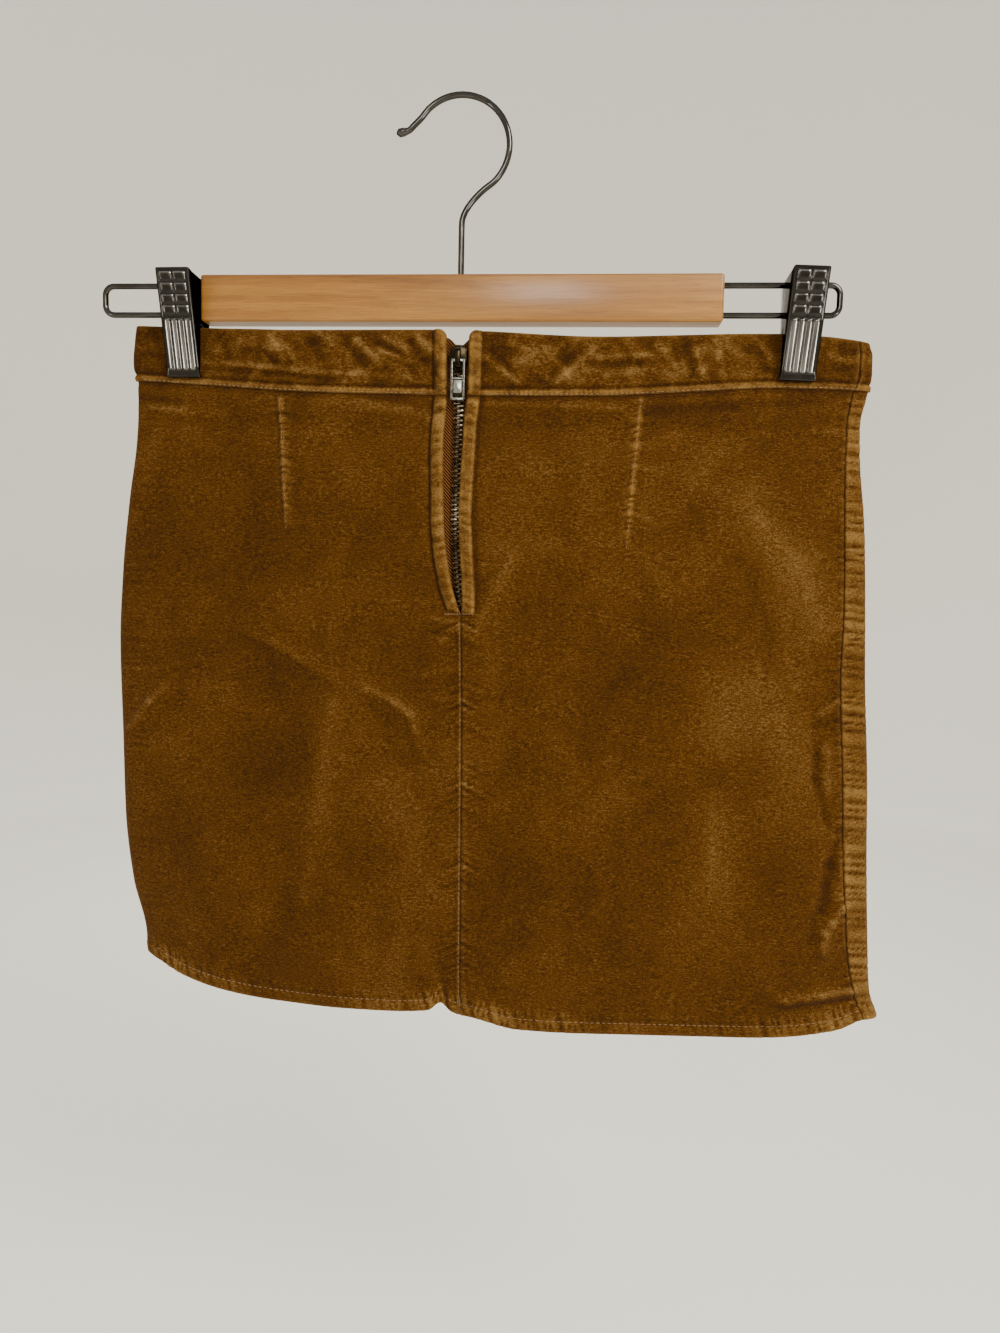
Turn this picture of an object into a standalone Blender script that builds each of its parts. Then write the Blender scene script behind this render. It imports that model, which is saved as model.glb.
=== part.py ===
"""A corduroy mini skirt, hung by its waistband from a wooden clip hanger.

The frame is in metres, +Z up. The origin is the inside of the hook's crown, where a rail or a
wall hook carries the hanger. The skirt's back, with its zip, faces -Y, and +X is to the right
as the back is seen. Lengths below are in millimetres and are turned to metres by MM.
"""
import math

import bmesh
import bpy
import numpy as np
from mathutils import Matrix, Vector

MM = 0.001
PART_NAME = "corduroy_mini_skirt"

# ---------------------------------------------------------------- cloth: driving sizes
PANEL_WALL = 1.6          # thickness of the skirt's cloth
BAND_WALL = 1.8           # thickness of the folded waistband
SEAM_GAP = 0.3            # free space between two pieces at a seam
HEM_BAND = 7.0            # height of the turned hem
HEM_RISE = 0.6            # how far the turned hem stands proud
LIP_WIDTH = 7.0           # width of each padded lip beside the zip
LIP_RISE = 0.9            # how far a lip stands proud
BAND_HEIGHT = 30.0        # nominal height of the waistband
SEAM_RIDGE = 2.6          # height of the ridge along the waist seam
SEAM_RIDGE_RISE = 0.7
LIP_SHOULDER = 1.2        # width over which a lip falls off at its outer edge
LIP_ROLL = 1.4            # width over which a lip rises at its inner edge
FOLD_START = (0.01, 0.06)  # below the waist seam the folds begin here and rise over this share
LEFT_SEAM_IN = 10.0       # the left side seam lies this far in from the edge, on the front
ZIP_END = 0.347           # where the zip ends, as a share of the way from waist seam to hem
CENTRE_LENGTH = 319.0     # from the waist seam to the hem at the centre back
CLIP_PINCH = 2.3          # half the thickness of the waistband under a clip
CLIP_X = (-141.7, 170.8)  # centre of the left and of the right clip
CLIP_FLAT = 11.0          # the clips hold the cloth flat this far to each side of their centre
CLIP_FADE = 30.0          # and the tube opens again over this width
CLIP_FADE_SHARE = 0.14    # and over this share of the skirt's length
FRONT_SAG = 5.5           # the front's top edge hangs this much lower midway between the clips

# One row for each section of the skirt, from the waist seam (0) to the hem (1).
# left, right: the side edges; half_depth: half the depth of the hollow tube at its middle;
# fold_radius: outer radius of the folded side edges; seam_in: how far the right side seam
# lies in from the right edge.
SECTION_COLUMNS = ("share", "left", "right", "half_depth", "fold_radius", "seam_in")
SECTIONS = (
    (0.00, -168.0, 205.0, 5.0, 2.7, 8.0),
    (0.05, -167.9, 201.8, 5.2, 2.7, 7.0),
    (0.10, -168.8, 202.5, 5.6, 2.8, 7.8),
    (0.20, -173.0, 206.3, 6.6, 3.0, 10.5),
    (0.32, -177.0, 208.8, 8.0, 3.2, 11.5),
    (0.45, -179.0, 210.9, 9.4, 3.5, 13.4),
    (0.60, -178.0, 214.4, 11.0, 3.8, 13.6),
    (0.75, -177.0, 216.6, 12.4, 4.0, 13.2),
    (0.87, -172.9, 219.0, 13.3, 4.2, 12.0),
    (0.95, -166.6, 221.0, 13.8, 4.2, 9.5),
    (1.00, -164.6, 225.2, 14.0, 4.2, 7.7),
)
# The same for the waistband, from its top edge (0) to the waist seam (1).
BAND_SECTIONS = (
    (0.00, -168.3, 204.3, 4.8, 2.7, 6.0),
    (0.30, -169.6, 206.2, 5.0, 2.7, 6.6),
    (0.70, -170.2, 206.2, 5.1, 2.7, 6.8),
    (1.00, -168.6, 205.2, 5.0, 2.7, 7.6),
)
# Height of the waistband's top edge and of the waist seam along x.
WAIST_COLUMNS = ("x", "top", "seam")
WAIST = (
    (-170.0, -111.2, -139.3),
    (-133.0, -112.2, -141.2),
    (-81.0, -113.6, -144.6),
    (-11.0, -113.4, -145.9),
    (9.0, -113.9, -146.1),
    (72.0, -116.6, -145.7),
    (121.0, -115.5, -143.3),
    (160.0, -114.5, -141.0),
    (184.0, -115.9, -141.4),
    (206.0, -119.2, -142.4),
)
# Height of the hem along x, on the back and on the front.
HEM_COLUMNS = ("x", "z")
HEM_BACK = (
    (-165.0, -444.6),
    (-156.0, -448.1),
    (-147.0, -452.6),
    (-138.0, -455.9),
    (-121.0, -460.0),
    (-88.0, -464.8),
    (-39.0, -467.6),
    (-8.0, -465.2),
    (-1.5, -461.4),
    (4.0, -465.0),
    (17.0, -467.8),
    (41.0, -472.3),
    (88.0, -472.2),
    (149.0, -471.2),
    (180.0, -469.2),
    (203.0, -466.0),
    (219.0, -460.4),
    (226.0, -460.3),
)
HEM_FRONT = (
    (-165.0, -444.6),
    (-152.0, -450.5),
    (-120.0, -459.0),
    (-60.0, -465.5),
    (20.0, -469.0),
    (100.0, -470.5),
    (180.0, -468.5),
    (212.0, -463.5),
    (226.0, -460.3),
)
# The opening between the inner edges of the two lips beside the zip: its middle and its width.
# It closes at ZIP_END and goes on as the centre back seam.
OPENING_COLUMNS = ("share", "middle", "gap")
ZIP_OPENING = (
    (0.000, 0.85, 10.1),
    (0.035, -0.20, 9.4),
    (0.060, -0.75, 9.7),
    (0.130, -1.20, 8.6),
    (0.180, -1.20, 7.6),
    (0.222, -0.50, 7.4),
    (0.298, 2.40, 5.2),
    (0.336, 4.50, 1.8),
    (0.347, 5.15, 0.3),
    (1.000, 8.95, 0.3),
)
BAND_OPENING = (
    (0.00, 0.60, 11.2),
    (1.00, 0.85, 10.1),
)
# Middle of the zip's chain.
CHAIN_COLUMNS = ("z", "x")
CHAIN_LINE = (
    (-256.0, 5.0),
    (-240.0, 3.0),
    (-216.0, 1.3),
    (-186.0, 1.1),
    (-151.0, 1.4),
    (-110.0, 1.2),
)
# Folds: a ridge (height above 0) or a trough (below 0) along a line, in x and z.
FOLD_COLUMNS = ("x0", "z0", "x1", "z1", "half_width", "height")
BACK_FOLDS = (
    (-106.4, -268.0, -62.3, -292.3, 6.0, 1.3),
    (-45.5, -296.5, -19.0, -311.0, 6.0, 1.5),
    (-172.6, -322.2, -153.3, -300.8, 5.0, 1.5),
    (-84.0, -309.0, -92.0, -408.0, 15.0, -1.8),
    (-12.0, -274.0, 3.0, -262.0, 5.0, 1.0),
    (10.3, -269.6, 29.8, -228.5, 6.0, 1.3),
    (148.0, -326.0, 152.0, -392.0, 17.0, -2.0),
    (122.0, -188.0, 183.0, -258.0, 13.0, 1.8),
    (203.8, -401.8, 193.5, -424.3, 6.0, 1.5),
    (174.2, -451.3, 210.0, -444.8, 6.0, 1.3),
    (184.0, -306.0, 189.0, -356.0, 8.0, -1.6),
    (-158.0, -160.0, -95.0, -163.0, 9.0, -1.3),
    (115.0, -161.0, 186.0, -157.0, 9.0, -1.3),
    (-122.0, -372.0, -118.0, -470.0, 26.0, 2.2),
    (-40.0, -392.0, -38.0, -470.0, 20.0, -1.8),
    (-1.5, -444.0, -1.5, -464.0, 4.5, -2.4),
    (58.0, -380.0, 62.0, -476.0, 30.0, 1.8),
    (168.0, -372.0, 176.0, -476.0, 22.0, 1.6),
)
FRONT_FOLDS = (
    (-120.0, -250.0, -60.0, -282.0, 9.0, 1.4),
    (95.0, -240.0, 150.0, -205.0, 12.0, 1.6),
    (-150.0, -164.0, -90.0, -168.0, 10.0, -1.3),
    (105.0, -166.0, 180.0, -160.0, 10.0, -1.3),
    (-110.0, -350.0, -116.0, -468.0, 26.0, 2.0),
    (-30.0, -330.0, -24.0, -474.0, 24.0, -2.0),
    (64.0, -340.0, 58.0, -476.0, 28.0, 2.0),
    (150.0, -320.0, 158.0, -474.0, 22.0, -1.6),
)

# Grid of each cloth piece.
ROWS = 24
BAND_ROWS = (0.0, 0.12, 0.35, 0.62, 0.88, 0.905, 0.97, 1.0)
LIP_STEPS = (0.0, 0.14, 0.5, 0.86, 1.0)

# ---------------------------------------------------------------- zip
TAPE_WALL = 0.7
TAPE_Z = (-256.5, -115.5)
TAPE_ROWS = 14
TAPE_DEEP_BESIDE = 12.0   # the tape stays deep from the top to this far below the slider
TAPE_SIDE_GAP = 0.5       # from the chain or the slider to the tape's slope
TAPE_SLOPE = 1.2          # least width of that slope
TAPE_FLAT = 1.5           # least width of the flat part under the lip
TAPE_DEEP = 3.9           # depth of the tape under the chain, below the cloth's face
TAPE_SHALLOW = 2.1        # depth of the tape under a lip
TAPE_UNDER_LIP = 4.5      # how far the tape goes under a lip
CHAIN_WIDTH = 5.2
CHAIN_DEPTH = (2.1, 3.6)  # front and back of the chain, below the cloth's face
CHAIN_END_Z = -253.5
CHAIN_ROWS = 12
SLIDER_Z = (-133.7, -121.7)
SLIDER_WIDTH = 8.8
SLIDER_Y = (-6.4, -1.4)
SLIDER_CROWN = 0.55       # height of the rounded top, as a share of half the width
SLIDER_SHOULDER = 0.96    # half width where the sides begin to draw in, as the same share
SLIDER_FOOT = 0.62        # half width at the lower end
SLIDER_FOOT_HEIGHT = 4.6
PULL_AXIS_Z = -129.4
PULL_AXIS_OUT = 1.3       # the pull's axis lies this far in front of the slider's face
PULL_WIDTH = 6.9
PULL_TOP = 0.75           # from the axis to the pull's top edge
PULL_LENGTH = 19.6        # from the axis to the pull's lower end
PULL_WALL = 1.2
PULL_CORNER = 1.2
PULL_WINDOW = (4.5, 0.65, 6.6)   # width, and start and end below the axis
BRIDGE_WIDTH = 2.8
BRIDGE_WALL = 0.9
BRIDGE_RISE = 2.6         # clear height under the bridge
BRIDGE_Z = (-133.3, -123.6)
BRIDGE_CORNER = 1.4
BRIDGE_INNER_CORNER = 0.7
BRIDGE_ROOT = 0.5         # the bridge goes this far into the slider's body

# ---------------------------------------------------------------- hanger
WIRE = 3.15               # hook wire diameter
HOOK_RADIUS = 24.3        # of the wire's centre line
HOOK_ARC = (-46.0, 146.0)  # degrees, from the neck over the crown to the tip
HOOK_NECK = ((1.0, -74.0), (1.0, -62.0), (1.4, -58.2), (3.0, -54.2), (6.4, -49.4), (11.2, -44.6))
HOOK_TIP = ((-24.0, -12.9), (-26.6, -15.2), (-31.0, -16.3))
HOOK_STEPS = 12           # points along the crown's arc
HOOK_IN_BAR = 11.0
HOOK_KNOB = (1.45, 1.3)   # the tip swells to a knob, as a share of the wire
BAR_X = 132.0             # half the bar's length
BAR_Z = (-109.9, -86.5)
BAR_HALF_DEPTH = 6.5
BAR_EDGE = 1.6            # rounding of the bar's edges
RAIL_WIRE = 3.0
RAIL_Z = (-105.4, -90.9)
RAIL_ENDS = (-185.0, 188.9)
RAIL_CORNER = 4.6
RAIL_IN_BAR = 14.0
HOLE_CLEARANCE = 0.35
CLIP_WIDTH = 17.4
CLIP_ROLL = (0.4, 2.2)    # degrees, the tops of the left and right clips lean outwards
CLIP_PIVOT_Z = -98.15
LEVER_WALL = 1.2
FLANGE_WALL = 1.1
RAIL_HOLE = 2.1           # radius of the holes that slide on the rails
SPRING_RADIUS = 2.4
JAW_Z = -137.4
JAW_FLOOR = 1.4           # height of the turned-in jaw
JAW_OUT = 3.1             # the jaw's inner edge, from the hanger's plane
LEVER_FRONT = ((5.3, -137.9), (19.4, -87.0))  # out from the hanger's plane, z
FLANGE = ((16.0, -87.6), (-3.2, -88.2), (-3.2, -108.6), (3.9, -111.0), (4.4, -129.0))


# ---------------------------------------------------------------- helpers
def column(rows, columns, name):
    """One named column of a table as an array."""
    return np.array([row[columns.index(name)] for row in rows])


def smooth(xs, ys, x):
    """Smooth curve through the points that never swings past them."""
    rise = np.diff(ys) / np.diff(xs)
    slope = np.concatenate(([rise[0]], np.zeros(len(xs) - 2), [rise[-1]]))
    same = rise[1:] * rise[:-1] > 0
    mean = 2 * rise[1:] * rise[:-1] / np.where(same, rise[1:] + rise[:-1], 1.0)
    slope[1:-1] = np.where(same, mean, 0.0)
    x = np.clip(np.asarray(x, float), xs[0], xs[-1])
    i = np.clip(np.searchsorted(xs, x) - 1, 0, len(xs) - 2)
    span = xs[i + 1] - xs[i]
    u = (x - xs[i]) / span
    a = (1 + 2 * u) * (1 - u) ** 2 * ys[i] + u * (1 - u) ** 2 * span * slope[i]
    b = u * u * (3 - 2 * u) * ys[i + 1] - u * u * (1 - u) * span * slope[i + 1]
    return a + b


def step(x):
    """Smooth step from 0 to 1."""
    x = np.clip(x, 0.0, 1.0)
    return x * x * (3 - 2 * x)


def arc(cx, cz, radius, start, end, steps):
    """Points of an arc in x and z."""
    points = []
    for k in range(steps + 1):
        angle = math.radians(start + (end - start) * k / steps)
        points.append((cx + radius * math.cos(angle), cz + radius * math.sin(angle)))
    return points


def material(name, colour, roughness, metallic=0.0):
    """Principled material with its own colour, roughness and metallic value."""
    mat = bpy.data.materials.new(name)
    mat.use_nodes = True
    shader = mat.node_tree.nodes["Principled BSDF"]
    shader.inputs["Base Color"].default_value = (*colour, 1.0)
    shader.inputs["Roughness"].default_value = roughness
    shader.inputs["Metallic"].default_value = metallic
    return mat


def new_object(name, mesh, mat, collection):
    """Object with its material, linked to its collection."""
    obj = bpy.data.objects.new(name, mesh)
    obj.data.materials.append(mat)
    collection.objects.link(obj)
    return obj


def mesh_from(bm, name):
    """Mesh made from a bmesh, which is freed."""
    mesh = bpy.data.meshes.new(name)
    bm.to_mesh(mesh)
    bm.free()
    return mesh


# ---------------------------------------------------------------- the skirt's surface
class Ring:
    """One section of the hollow tube: x and y of its outer face all round, from the middle of
    the right edge over the back (-Y) to the left edge and back over the front."""

    SAMPLES = 721

    def __init__(self, share, sections, pinch):
        get = {n: column(sections, SECTION_COLUMNS, n) for n in SECTION_COLUMNS}
        at = {n: float(smooth(get["share"], get[n], share)) for n in SECTION_COLUMNS[1:]}
        self.left = at["left"]
        self.right = at["right"]
        self.seam_in = at["seam_in"]
        self.radius = at["fold_radius"]
        turn = np.linspace(0.0, 2 * math.pi, self.SAMPLES)
        wide = (self.right - self.left) / 2 - self.radius
        deep = at["half_depth"] - self.radius
        out_x = np.cos(turn) / wide
        out_y = -np.sin(turn) / deep
        size = np.hypot(out_x, out_y)
        self.out_x = out_x / size
        self.out_y = out_y / size
        middle = (self.right + self.left) / 2
        self.x = middle + wide * np.cos(turn) + self.radius * self.out_x
        self.y = -deep * np.sin(turn) + self.radius * self.out_y
        self.y = self.y * pinched(self.x, self.y, pinch)
        self.way = np.concatenate(([0.0], np.cumsum(np.hypot(np.diff(self.x), np.diff(self.y)))))

    def way_at(self, x, back=True):
        """Distance round the ring at which the back, or the front, has this x."""
        half = self.SAMPLES // 2
        if back:
            return float(np.interp(-x, -self.x[:half + 1], self.way[:half + 1]))
        return float(np.interp(x, self.x[half:], self.way[half:]))

    def point(self, way):
        """x, y and the outward direction at a distance round the ring."""
        return tuple(np.interp(way, self.way, v) for v in (self.x, self.y, self.out_x, self.out_y))


def pinched(x, y, amount):
    """Factor that thins the tube at the two clips, 1 where there is no clip."""
    factor = np.ones_like(x)
    for centre in CLIP_X:
        near = 1 - step((np.abs(x - centre) - CLIP_FLAT) / CLIP_FADE)
        thin = np.minimum(1.0, CLIP_PINCH / np.maximum(np.abs(y), 0.5))
        factor = np.minimum(factor, 1 - amount * near * (1 - thin))
    return factor


def opening_at(rows, share):
    """x of the left and of the right edge of the opening."""
    shares, middle, gap = [column(rows, OPENING_COLUMNS, name) for name in OPENING_COLUMNS]
    centre = float(smooth(shares, middle, share))
    half = float(smooth(shares, gap, share)) / 2
    return centre - half, centre + half


def front_sag(x):
    """How far the front's top hangs down at x, between the clips."""
    reach = (x - sum(CLIP_X) / 2) / (CLIP_X[1] - CLIP_X[0]) * 2
    return FRONT_SAG * max(0.0, 1 - reach ** 2)


def fold_height(x, z, back):
    """Height of the folds at a place on the back or the front."""
    rows = BACK_FOLDS if back else FRONT_FOLDS
    total = 0.0
    for x0, z0, x1, z1, half_width, height in rows:
        along = np.array((x1 - x0, z1 - z0))
        u = np.clip(np.dot((x - x0, z - z0), along) / np.dot(along, along), 0.0, 1.0)
        far = math.hypot(x - x0 - u * along[0], z - z0 - u * along[1])
        total += height * math.exp(-(far / half_width) ** 2)
    return total


def lip_bump(distance, share):
    """Height of the padded lip at a distance from its inner edge."""
    rise = step(distance / LIP_ROLL + 0.25)
    across = rise * (1 - step((distance - LIP_WIDTH + LIP_SHOULDER) / LIP_SHOULDER))
    return LIP_RISE * across * (1 - step((share - ZIP_END) / 0.02))


def skirt_point(ring, way, share, opening):
    """Outer point, outward direction and wall thickness of the skirt below the waist seam."""
    x, y, out_x, out_y = ring.point(way)
    back = y < 0
    top = smooth(column(WAIST, WAIST_COLUMNS, "x"), column(WAIST, WAIST_COLUMNS, "seam"), x)
    hem = HEM_BACK if back else HEM_FRONT
    low = smooth(column(hem, HEM_COLUMNS, "x"), column(hem, HEM_COLUMNS, "z"), x)
    z = float(top - SEAM_GAP / 2 + share * (low - top + SEAM_GAP / 2))
    flat = step(abs(y) / ring.radius - 0.6)
    fade = step((share - FOLD_START[0]) / FOLD_START[1])
    move = fold_height(x, z, back) * flat * fade
    thick = HEM_RISE * step((share - 1 + HEM_BAND / CENTRE_LENGTH) / 0.0025)
    if back and opening:
        edge = min(abs(x - opening[0]), abs(x - opening[1]))
        thick += lip_bump(edge, share) if share < ZIP_END + 0.02 else 0.0
    move += thick
    z -= 0.0 if back else front_sag(x) * (1 - share) ** 2
    point = Vector((x + out_x * move, y + out_y * move, z)) * MM
    return point, PANEL_WALL + thick


def band_point(ring, way, share, opening):
    """The same for the waistband."""
    x, y, out_x, out_y = ring.point(way)
    xs = column(WAIST, WAIST_COLUMNS, "x")
    top = smooth(xs, column(WAIST, WAIST_COLUMNS, "top"), x)
    low = smooth(xs, column(WAIST, WAIST_COLUMNS, "seam"), x) + SEAM_GAP / 2
    z = float(top + share * (low - top))
    ridge = step((share - 1 + SEAM_RIDGE / BAND_HEIGHT) / 0.02)
    thick = SEAM_RIDGE_RISE * ridge * (1 - 0.5 * step((share - 0.96) / 0.04))
    if y < 0 and opening:
        edge = min(abs(x - opening[0]), abs(x - opening[1]))
        thick = max(thick, lip_bump(edge, 0.0))
    z -= front_sag(x) if y >= 0 else 0.0
    point = Vector((x + out_x * thick, y + out_y * thick, z)) * MM
    return point, BAND_WALL + thick


def stations_back_right(ring, opening):
    """Places round the ring where the right back piece starts, turns fine and ends."""
    seam = ring.way_at(ring.right - ring.seam_in)
    return (seam + SEAM_GAP / 2, ring.way_at(opening[1] + LIP_WIDTH), ring.way_at(opening[1]))


def stations_back_left(ring, opening):
    """The same for the left back piece, which goes round the left edge to the front."""
    fold = ring.radius * 1.2
    edge_back = ring.way_at(ring.left + fold)
    edge_front = ring.way_at(ring.left + fold, back=False)
    seam = ring.way_at(ring.left + LEFT_SEAM_IN, back=False)
    lip = ring.way_at(opening[0] - LIP_WIDTH)
    return (ring.way_at(opening[0]), lip, edge_back, edge_front, seam - SEAM_GAP / 2)


def stations_front(ring, opening):
    """The same for the front piece, which goes round the right edge to the back."""
    fold = ring.radius * 1.2
    whole = ring.way[-1]
    seam_left = ring.way_at(ring.left + LEFT_SEAM_IN, back=False)
    edge_front = ring.way_at(ring.right - fold, back=False)
    edge_back = whole + ring.way_at(ring.right - fold)
    seam_right = whole + ring.way_at(ring.right - ring.seam_in)
    return (seam_left + SEAM_GAP / 2, edge_front, edge_back, seam_right - SEAM_GAP / 2)


def ways(stations, counts, lip_first, lip_last):
    """Distances round the ring of all columns: even between stations, graded across a lip."""
    places = [stations[0]]
    last = len(counts) - 1
    for i, count in enumerate(counts):
        shares = [k / count for k in range(count + 1)]
        if i == 0 and lip_first:
            shares = LIP_STEPS
        if i == last and lip_last:
            shares = [1 - s for s in reversed(LIP_STEPS)]
        places += [stations[i] + s * (stations[i + 1] - stations[i]) for s in shares[1:]]
    return places


def cloth_piece(name, mat, collection, shares, layout, surface):
    """A piece of cloth: a grid laid on the tube's outer face, thickened inwards."""
    stations_of, counts, lip_first, lip_last, sections, opening_rows, pinch_of = layout
    columns = sum(counts)
    rows = len(shares) - 1
    bm = bmesh.new()
    bmesh.ops.create_grid(bm, x_segments=columns, y_segments=rows, size=1.0)
    grid = {}
    for vert in bm.verts:
        i = round((vert.co.x + 1) / 2 * columns)
        j = round((vert.co.y + 1) / 2 * rows)
        grid[vert.index] = (i, j)
    bm.verts.ensure_lookup_table()
    walls = {}
    for j, share in enumerate(shares):
        ring = Ring(share, sections, pinch_of(share))
        opening = opening_at(opening_rows, share)
        places = ways(stations_of(ring, opening), counts, lip_first, lip_last)
        for vert in bm.verts:
            if grid[vert.index][1] != j:
                continue
            way = places[grid[vert.index][0]] % ring.way[-1]
            vert.co, walls[vert.index] = surface(ring, way, share, opening)
    mesh = mesh_from(bm, name)
    obj = new_object(name, mesh, mat, collection)
    thickest = max(walls.values())
    group = obj.vertex_groups.new(name="wall")
    for index, wall in walls.items():
        group.add([index], wall / thickest, "REPLACE")
    solid = obj.modifiers.new("wall", "SOLIDIFY")
    solid.thickness = thickest * MM
    solid.offset = -1.0
    solid.vertex_group = group.name
    mesh.shade_smooth()
    mesh.set_sharp_from_angle(angle=math.radians(50))
    return obj


def skirt_pinch(share):
    """The clips' pinch fades below the waist seam."""
    return 1 - step(share / CLIP_FADE_SHARE)


def band_pinch(share):
    """The clips pinch the whole height of the waistband."""
    return 1.0


def build_cloth(collection, cloth):
    """The three panels and the three lengths of waistband."""
    hem = HEM_BAND / CENTRE_LENGTH
    even = [(1 - hem - 0.002) * k / (ROWS - 3) for k in range(ROWS - 2)]
    rows = even + [1 - hem + 0.003, 0.9975, 1.0]
    skirt = (SECTIONS, ZIP_OPENING, skirt_pinch)
    band = (BAND_SECTIONS, BAND_OPENING, band_pinch)
    cloth_piece("back_panel_right", cloth, collection, rows,
                (stations_back_right, (20, 4), False, True) + skirt, skirt_point)
    cloth_piece("back_panel_left", cloth, collection, rows,
                (stations_back_left, (4, 20, 6, 2), True, False) + skirt, skirt_point)
    cloth_piece("front_panel", cloth, collection, rows,
                (stations_front, (26, 6, 2), False, False) + skirt, skirt_point)
    cloth_piece("waistband_back_right", cloth, collection, BAND_ROWS,
                (stations_back_right, (12, 4), False, True) + band, band_point)
    cloth_piece("waistband_back_left", cloth, collection, BAND_ROWS,
                (stations_back_left, (4, 12, 5, 2), True, False) + band, band_point)
    cloth_piece("waistband_front", cloth, collection, BAND_ROWS,
                (stations_front, (18, 5, 2), False, False) + band, band_point)


# ---------------------------------------------------------------- zip
def zip_place(z):
    """Face of the cloth beside the zip (y), its opening and the chain's middle at a height."""
    seam = float(smooth(column(WAIST, WAIST_COLUMNS, "x"), column(WAIST, WAIST_COLUMNS, "seam"), 1.0))
    if z > seam:
        rows, sections, pinch = BAND_OPENING, BAND_SECTIONS, 1.0
        top = float(smooth(column(WAIST, WAIST_COLUMNS, "x"), column(WAIST, WAIST_COLUMNS, "top"), 1.0))
        share = max(0.0, (top - z) / (top - seam))
    else:
        rows, sections, pinch = ZIP_OPENING, SECTIONS, 0.0
        share = (seam - z) / CENTRE_LENGTH
    ring = Ring(share, sections, pinch)
    face = ring.point(ring.way_at(1.0))[1]
    left, right = opening_at(rows, share)
    line = column(CHAIN_LINE, CHAIN_COLUMNS, "z"), column(CHAIN_LINE, CHAIN_COLUMNS, "x")
    return face, left, right, float(smooth(*line, z))


def zip_tape(name, mat, collection, side):
    """One tape: shallow under its lip and deep under the chain."""
    low, high = TAPE_Z
    bm = bmesh.new()
    bmesh.ops.create_grid(bm, x_segments=5, y_segments=TAPE_ROWS, size=1.0)
    for vert in bm.verts:
        u = (vert.co.x + 1) / 2
        z = high - (vert.co.y + 1) / 2 * (high - low)
        face, left, right, chain = zip_place(z)
        inner = chain + side * SEAM_GAP / 2
        lip = right if side > 0 else left
        outer = lip + side * TAPE_UNDER_LIP
        beside_slider = z > SLIDER_Z[0] - TAPE_DEEP_BESIDE
        half = (SLIDER_WIDTH if beside_slider else CHAIN_WIDTH) / 2
        deep_until = chain + side * (half + TAPE_SIDE_GAP)
        farther = max if side > 0 else min
        shallow_from = farther(lip + side * 1.0, deep_until + side * TAPE_SLOPE)
        outer = farther(outer, shallow_from + side * TAPE_FLAT)
        marks = (0.0, 0.4, 0.7, 1.0)
        x = float(np.interp(u, marks, (inner, deep_until, shallow_from, outer)))
        depths = (TAPE_DEEP, TAPE_DEEP, TAPE_SHALLOW, TAPE_SHALLOW)
        vert.co = Vector((x, face + float(np.interp(u, marks, depths)), z)) * MM
    if side > 0:
        bmesh.ops.reverse_faces(bm, faces=bm.faces)
    obj = new_object(name, mesh_from(bm, name), mat, collection)
    solid = obj.modifiers.new("wall", "SOLIDIFY")
    solid.thickness = TAPE_WALL * MM
    solid.offset = -1.0
    obj.data.shade_smooth()
    return obj


def zip_chain(mat, collection):
    """The closed chain as one plain band, from the slider to the zip's end."""
    high = SLIDER_Z[0] - SEAM_GAP
    bm = bmesh.new()
    bmesh.ops.create_grid(bm, x_segments=2, y_segments=CHAIN_ROWS, size=1.0)
    for vert in bm.verts:
        z = high - (vert.co.y + 1) / 2 * (high - CHAIN_END_Z)
        face, _, _, chain = zip_place(z)
        vert.co = Vector((chain - vert.co.x * CHAIN_WIDTH / 2, face + CHAIN_DEPTH[0], z)) * MM
    obj = new_object("zip_chain", mesh_from(bm, "zip_chain"), mat, collection)
    solid = obj.modifiers.new("wall", "SOLIDIFY")
    solid.thickness = (CHAIN_DEPTH[1] - CHAIN_DEPTH[0]) * MM
    solid.offset = -1.0
    return obj


def box_mesh(name, low, high):
    """Box between two corners, in millimetres."""
    bm = bmesh.new()
    bmesh.ops.create_cube(bm, size=1.0)
    for vert in bm.verts:
        vert.co = Vector([(low[i] + (vert.co[i] + 0.5) * (high[i] - low[i])) * MM for i in range(3)])
    return mesh_from(bm, name)


def cutter(name, mesh, collection):
    """Hidden object that a Boolean uses."""
    obj = bpy.data.objects.new(name, mesh)
    collection.objects.link(obj)
    obj.hide_render = True
    obj.display_type = "WIRE"
    return obj


def boolean(obj, tool, operation="DIFFERENCE"):
    """Cut or join with another object."""
    mod = obj.modifiers.new(tool.name, "BOOLEAN")
    mod.object = tool
    mod.operation = operation
    mod.solver = "EXACT"


def bevel(obj, width, segments=2, angle=30):
    """Round the edges sharper than an angle."""
    mod = obj.modifiers.new("rounded_edges", "BEVEL")
    mod.width = width * MM
    mod.segments = segments
    mod.limit_method = "ANGLE"
    mod.angle_limit = math.radians(angle)


def plate(name, outline, low, high, mat, collection, axis="Y"):
    """Outline extruded along Y (outline in x, z) or along X (outline in y, z)."""
    bm = bmesh.new()
    verts = []
    for a, z in outline:
        co = (a, low, z) if axis == "Y" else (low, a, z)
        verts.append(bm.verts.new(Vector(co) * MM))
    face = bm.faces.new(verts)
    out = bmesh.ops.extrude_face_region(bm, geom=[face])
    move = Vector((0, high - low, 0)) if axis == "Y" else Vector((high - low, 0, 0))
    new = [g for g in out["geom"] if isinstance(g, bmesh.types.BMVert)]
    bmesh.ops.translate(bm, verts=new, vec=move * MM)
    bmesh.ops.recalc_face_normals(bm, faces=bm.faces)
    mesh = mesh_from(bm, name)
    if mat is None:
        return cutter(name, mesh, collection)
    return new_object(name, mesh, mat, collection)


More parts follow.
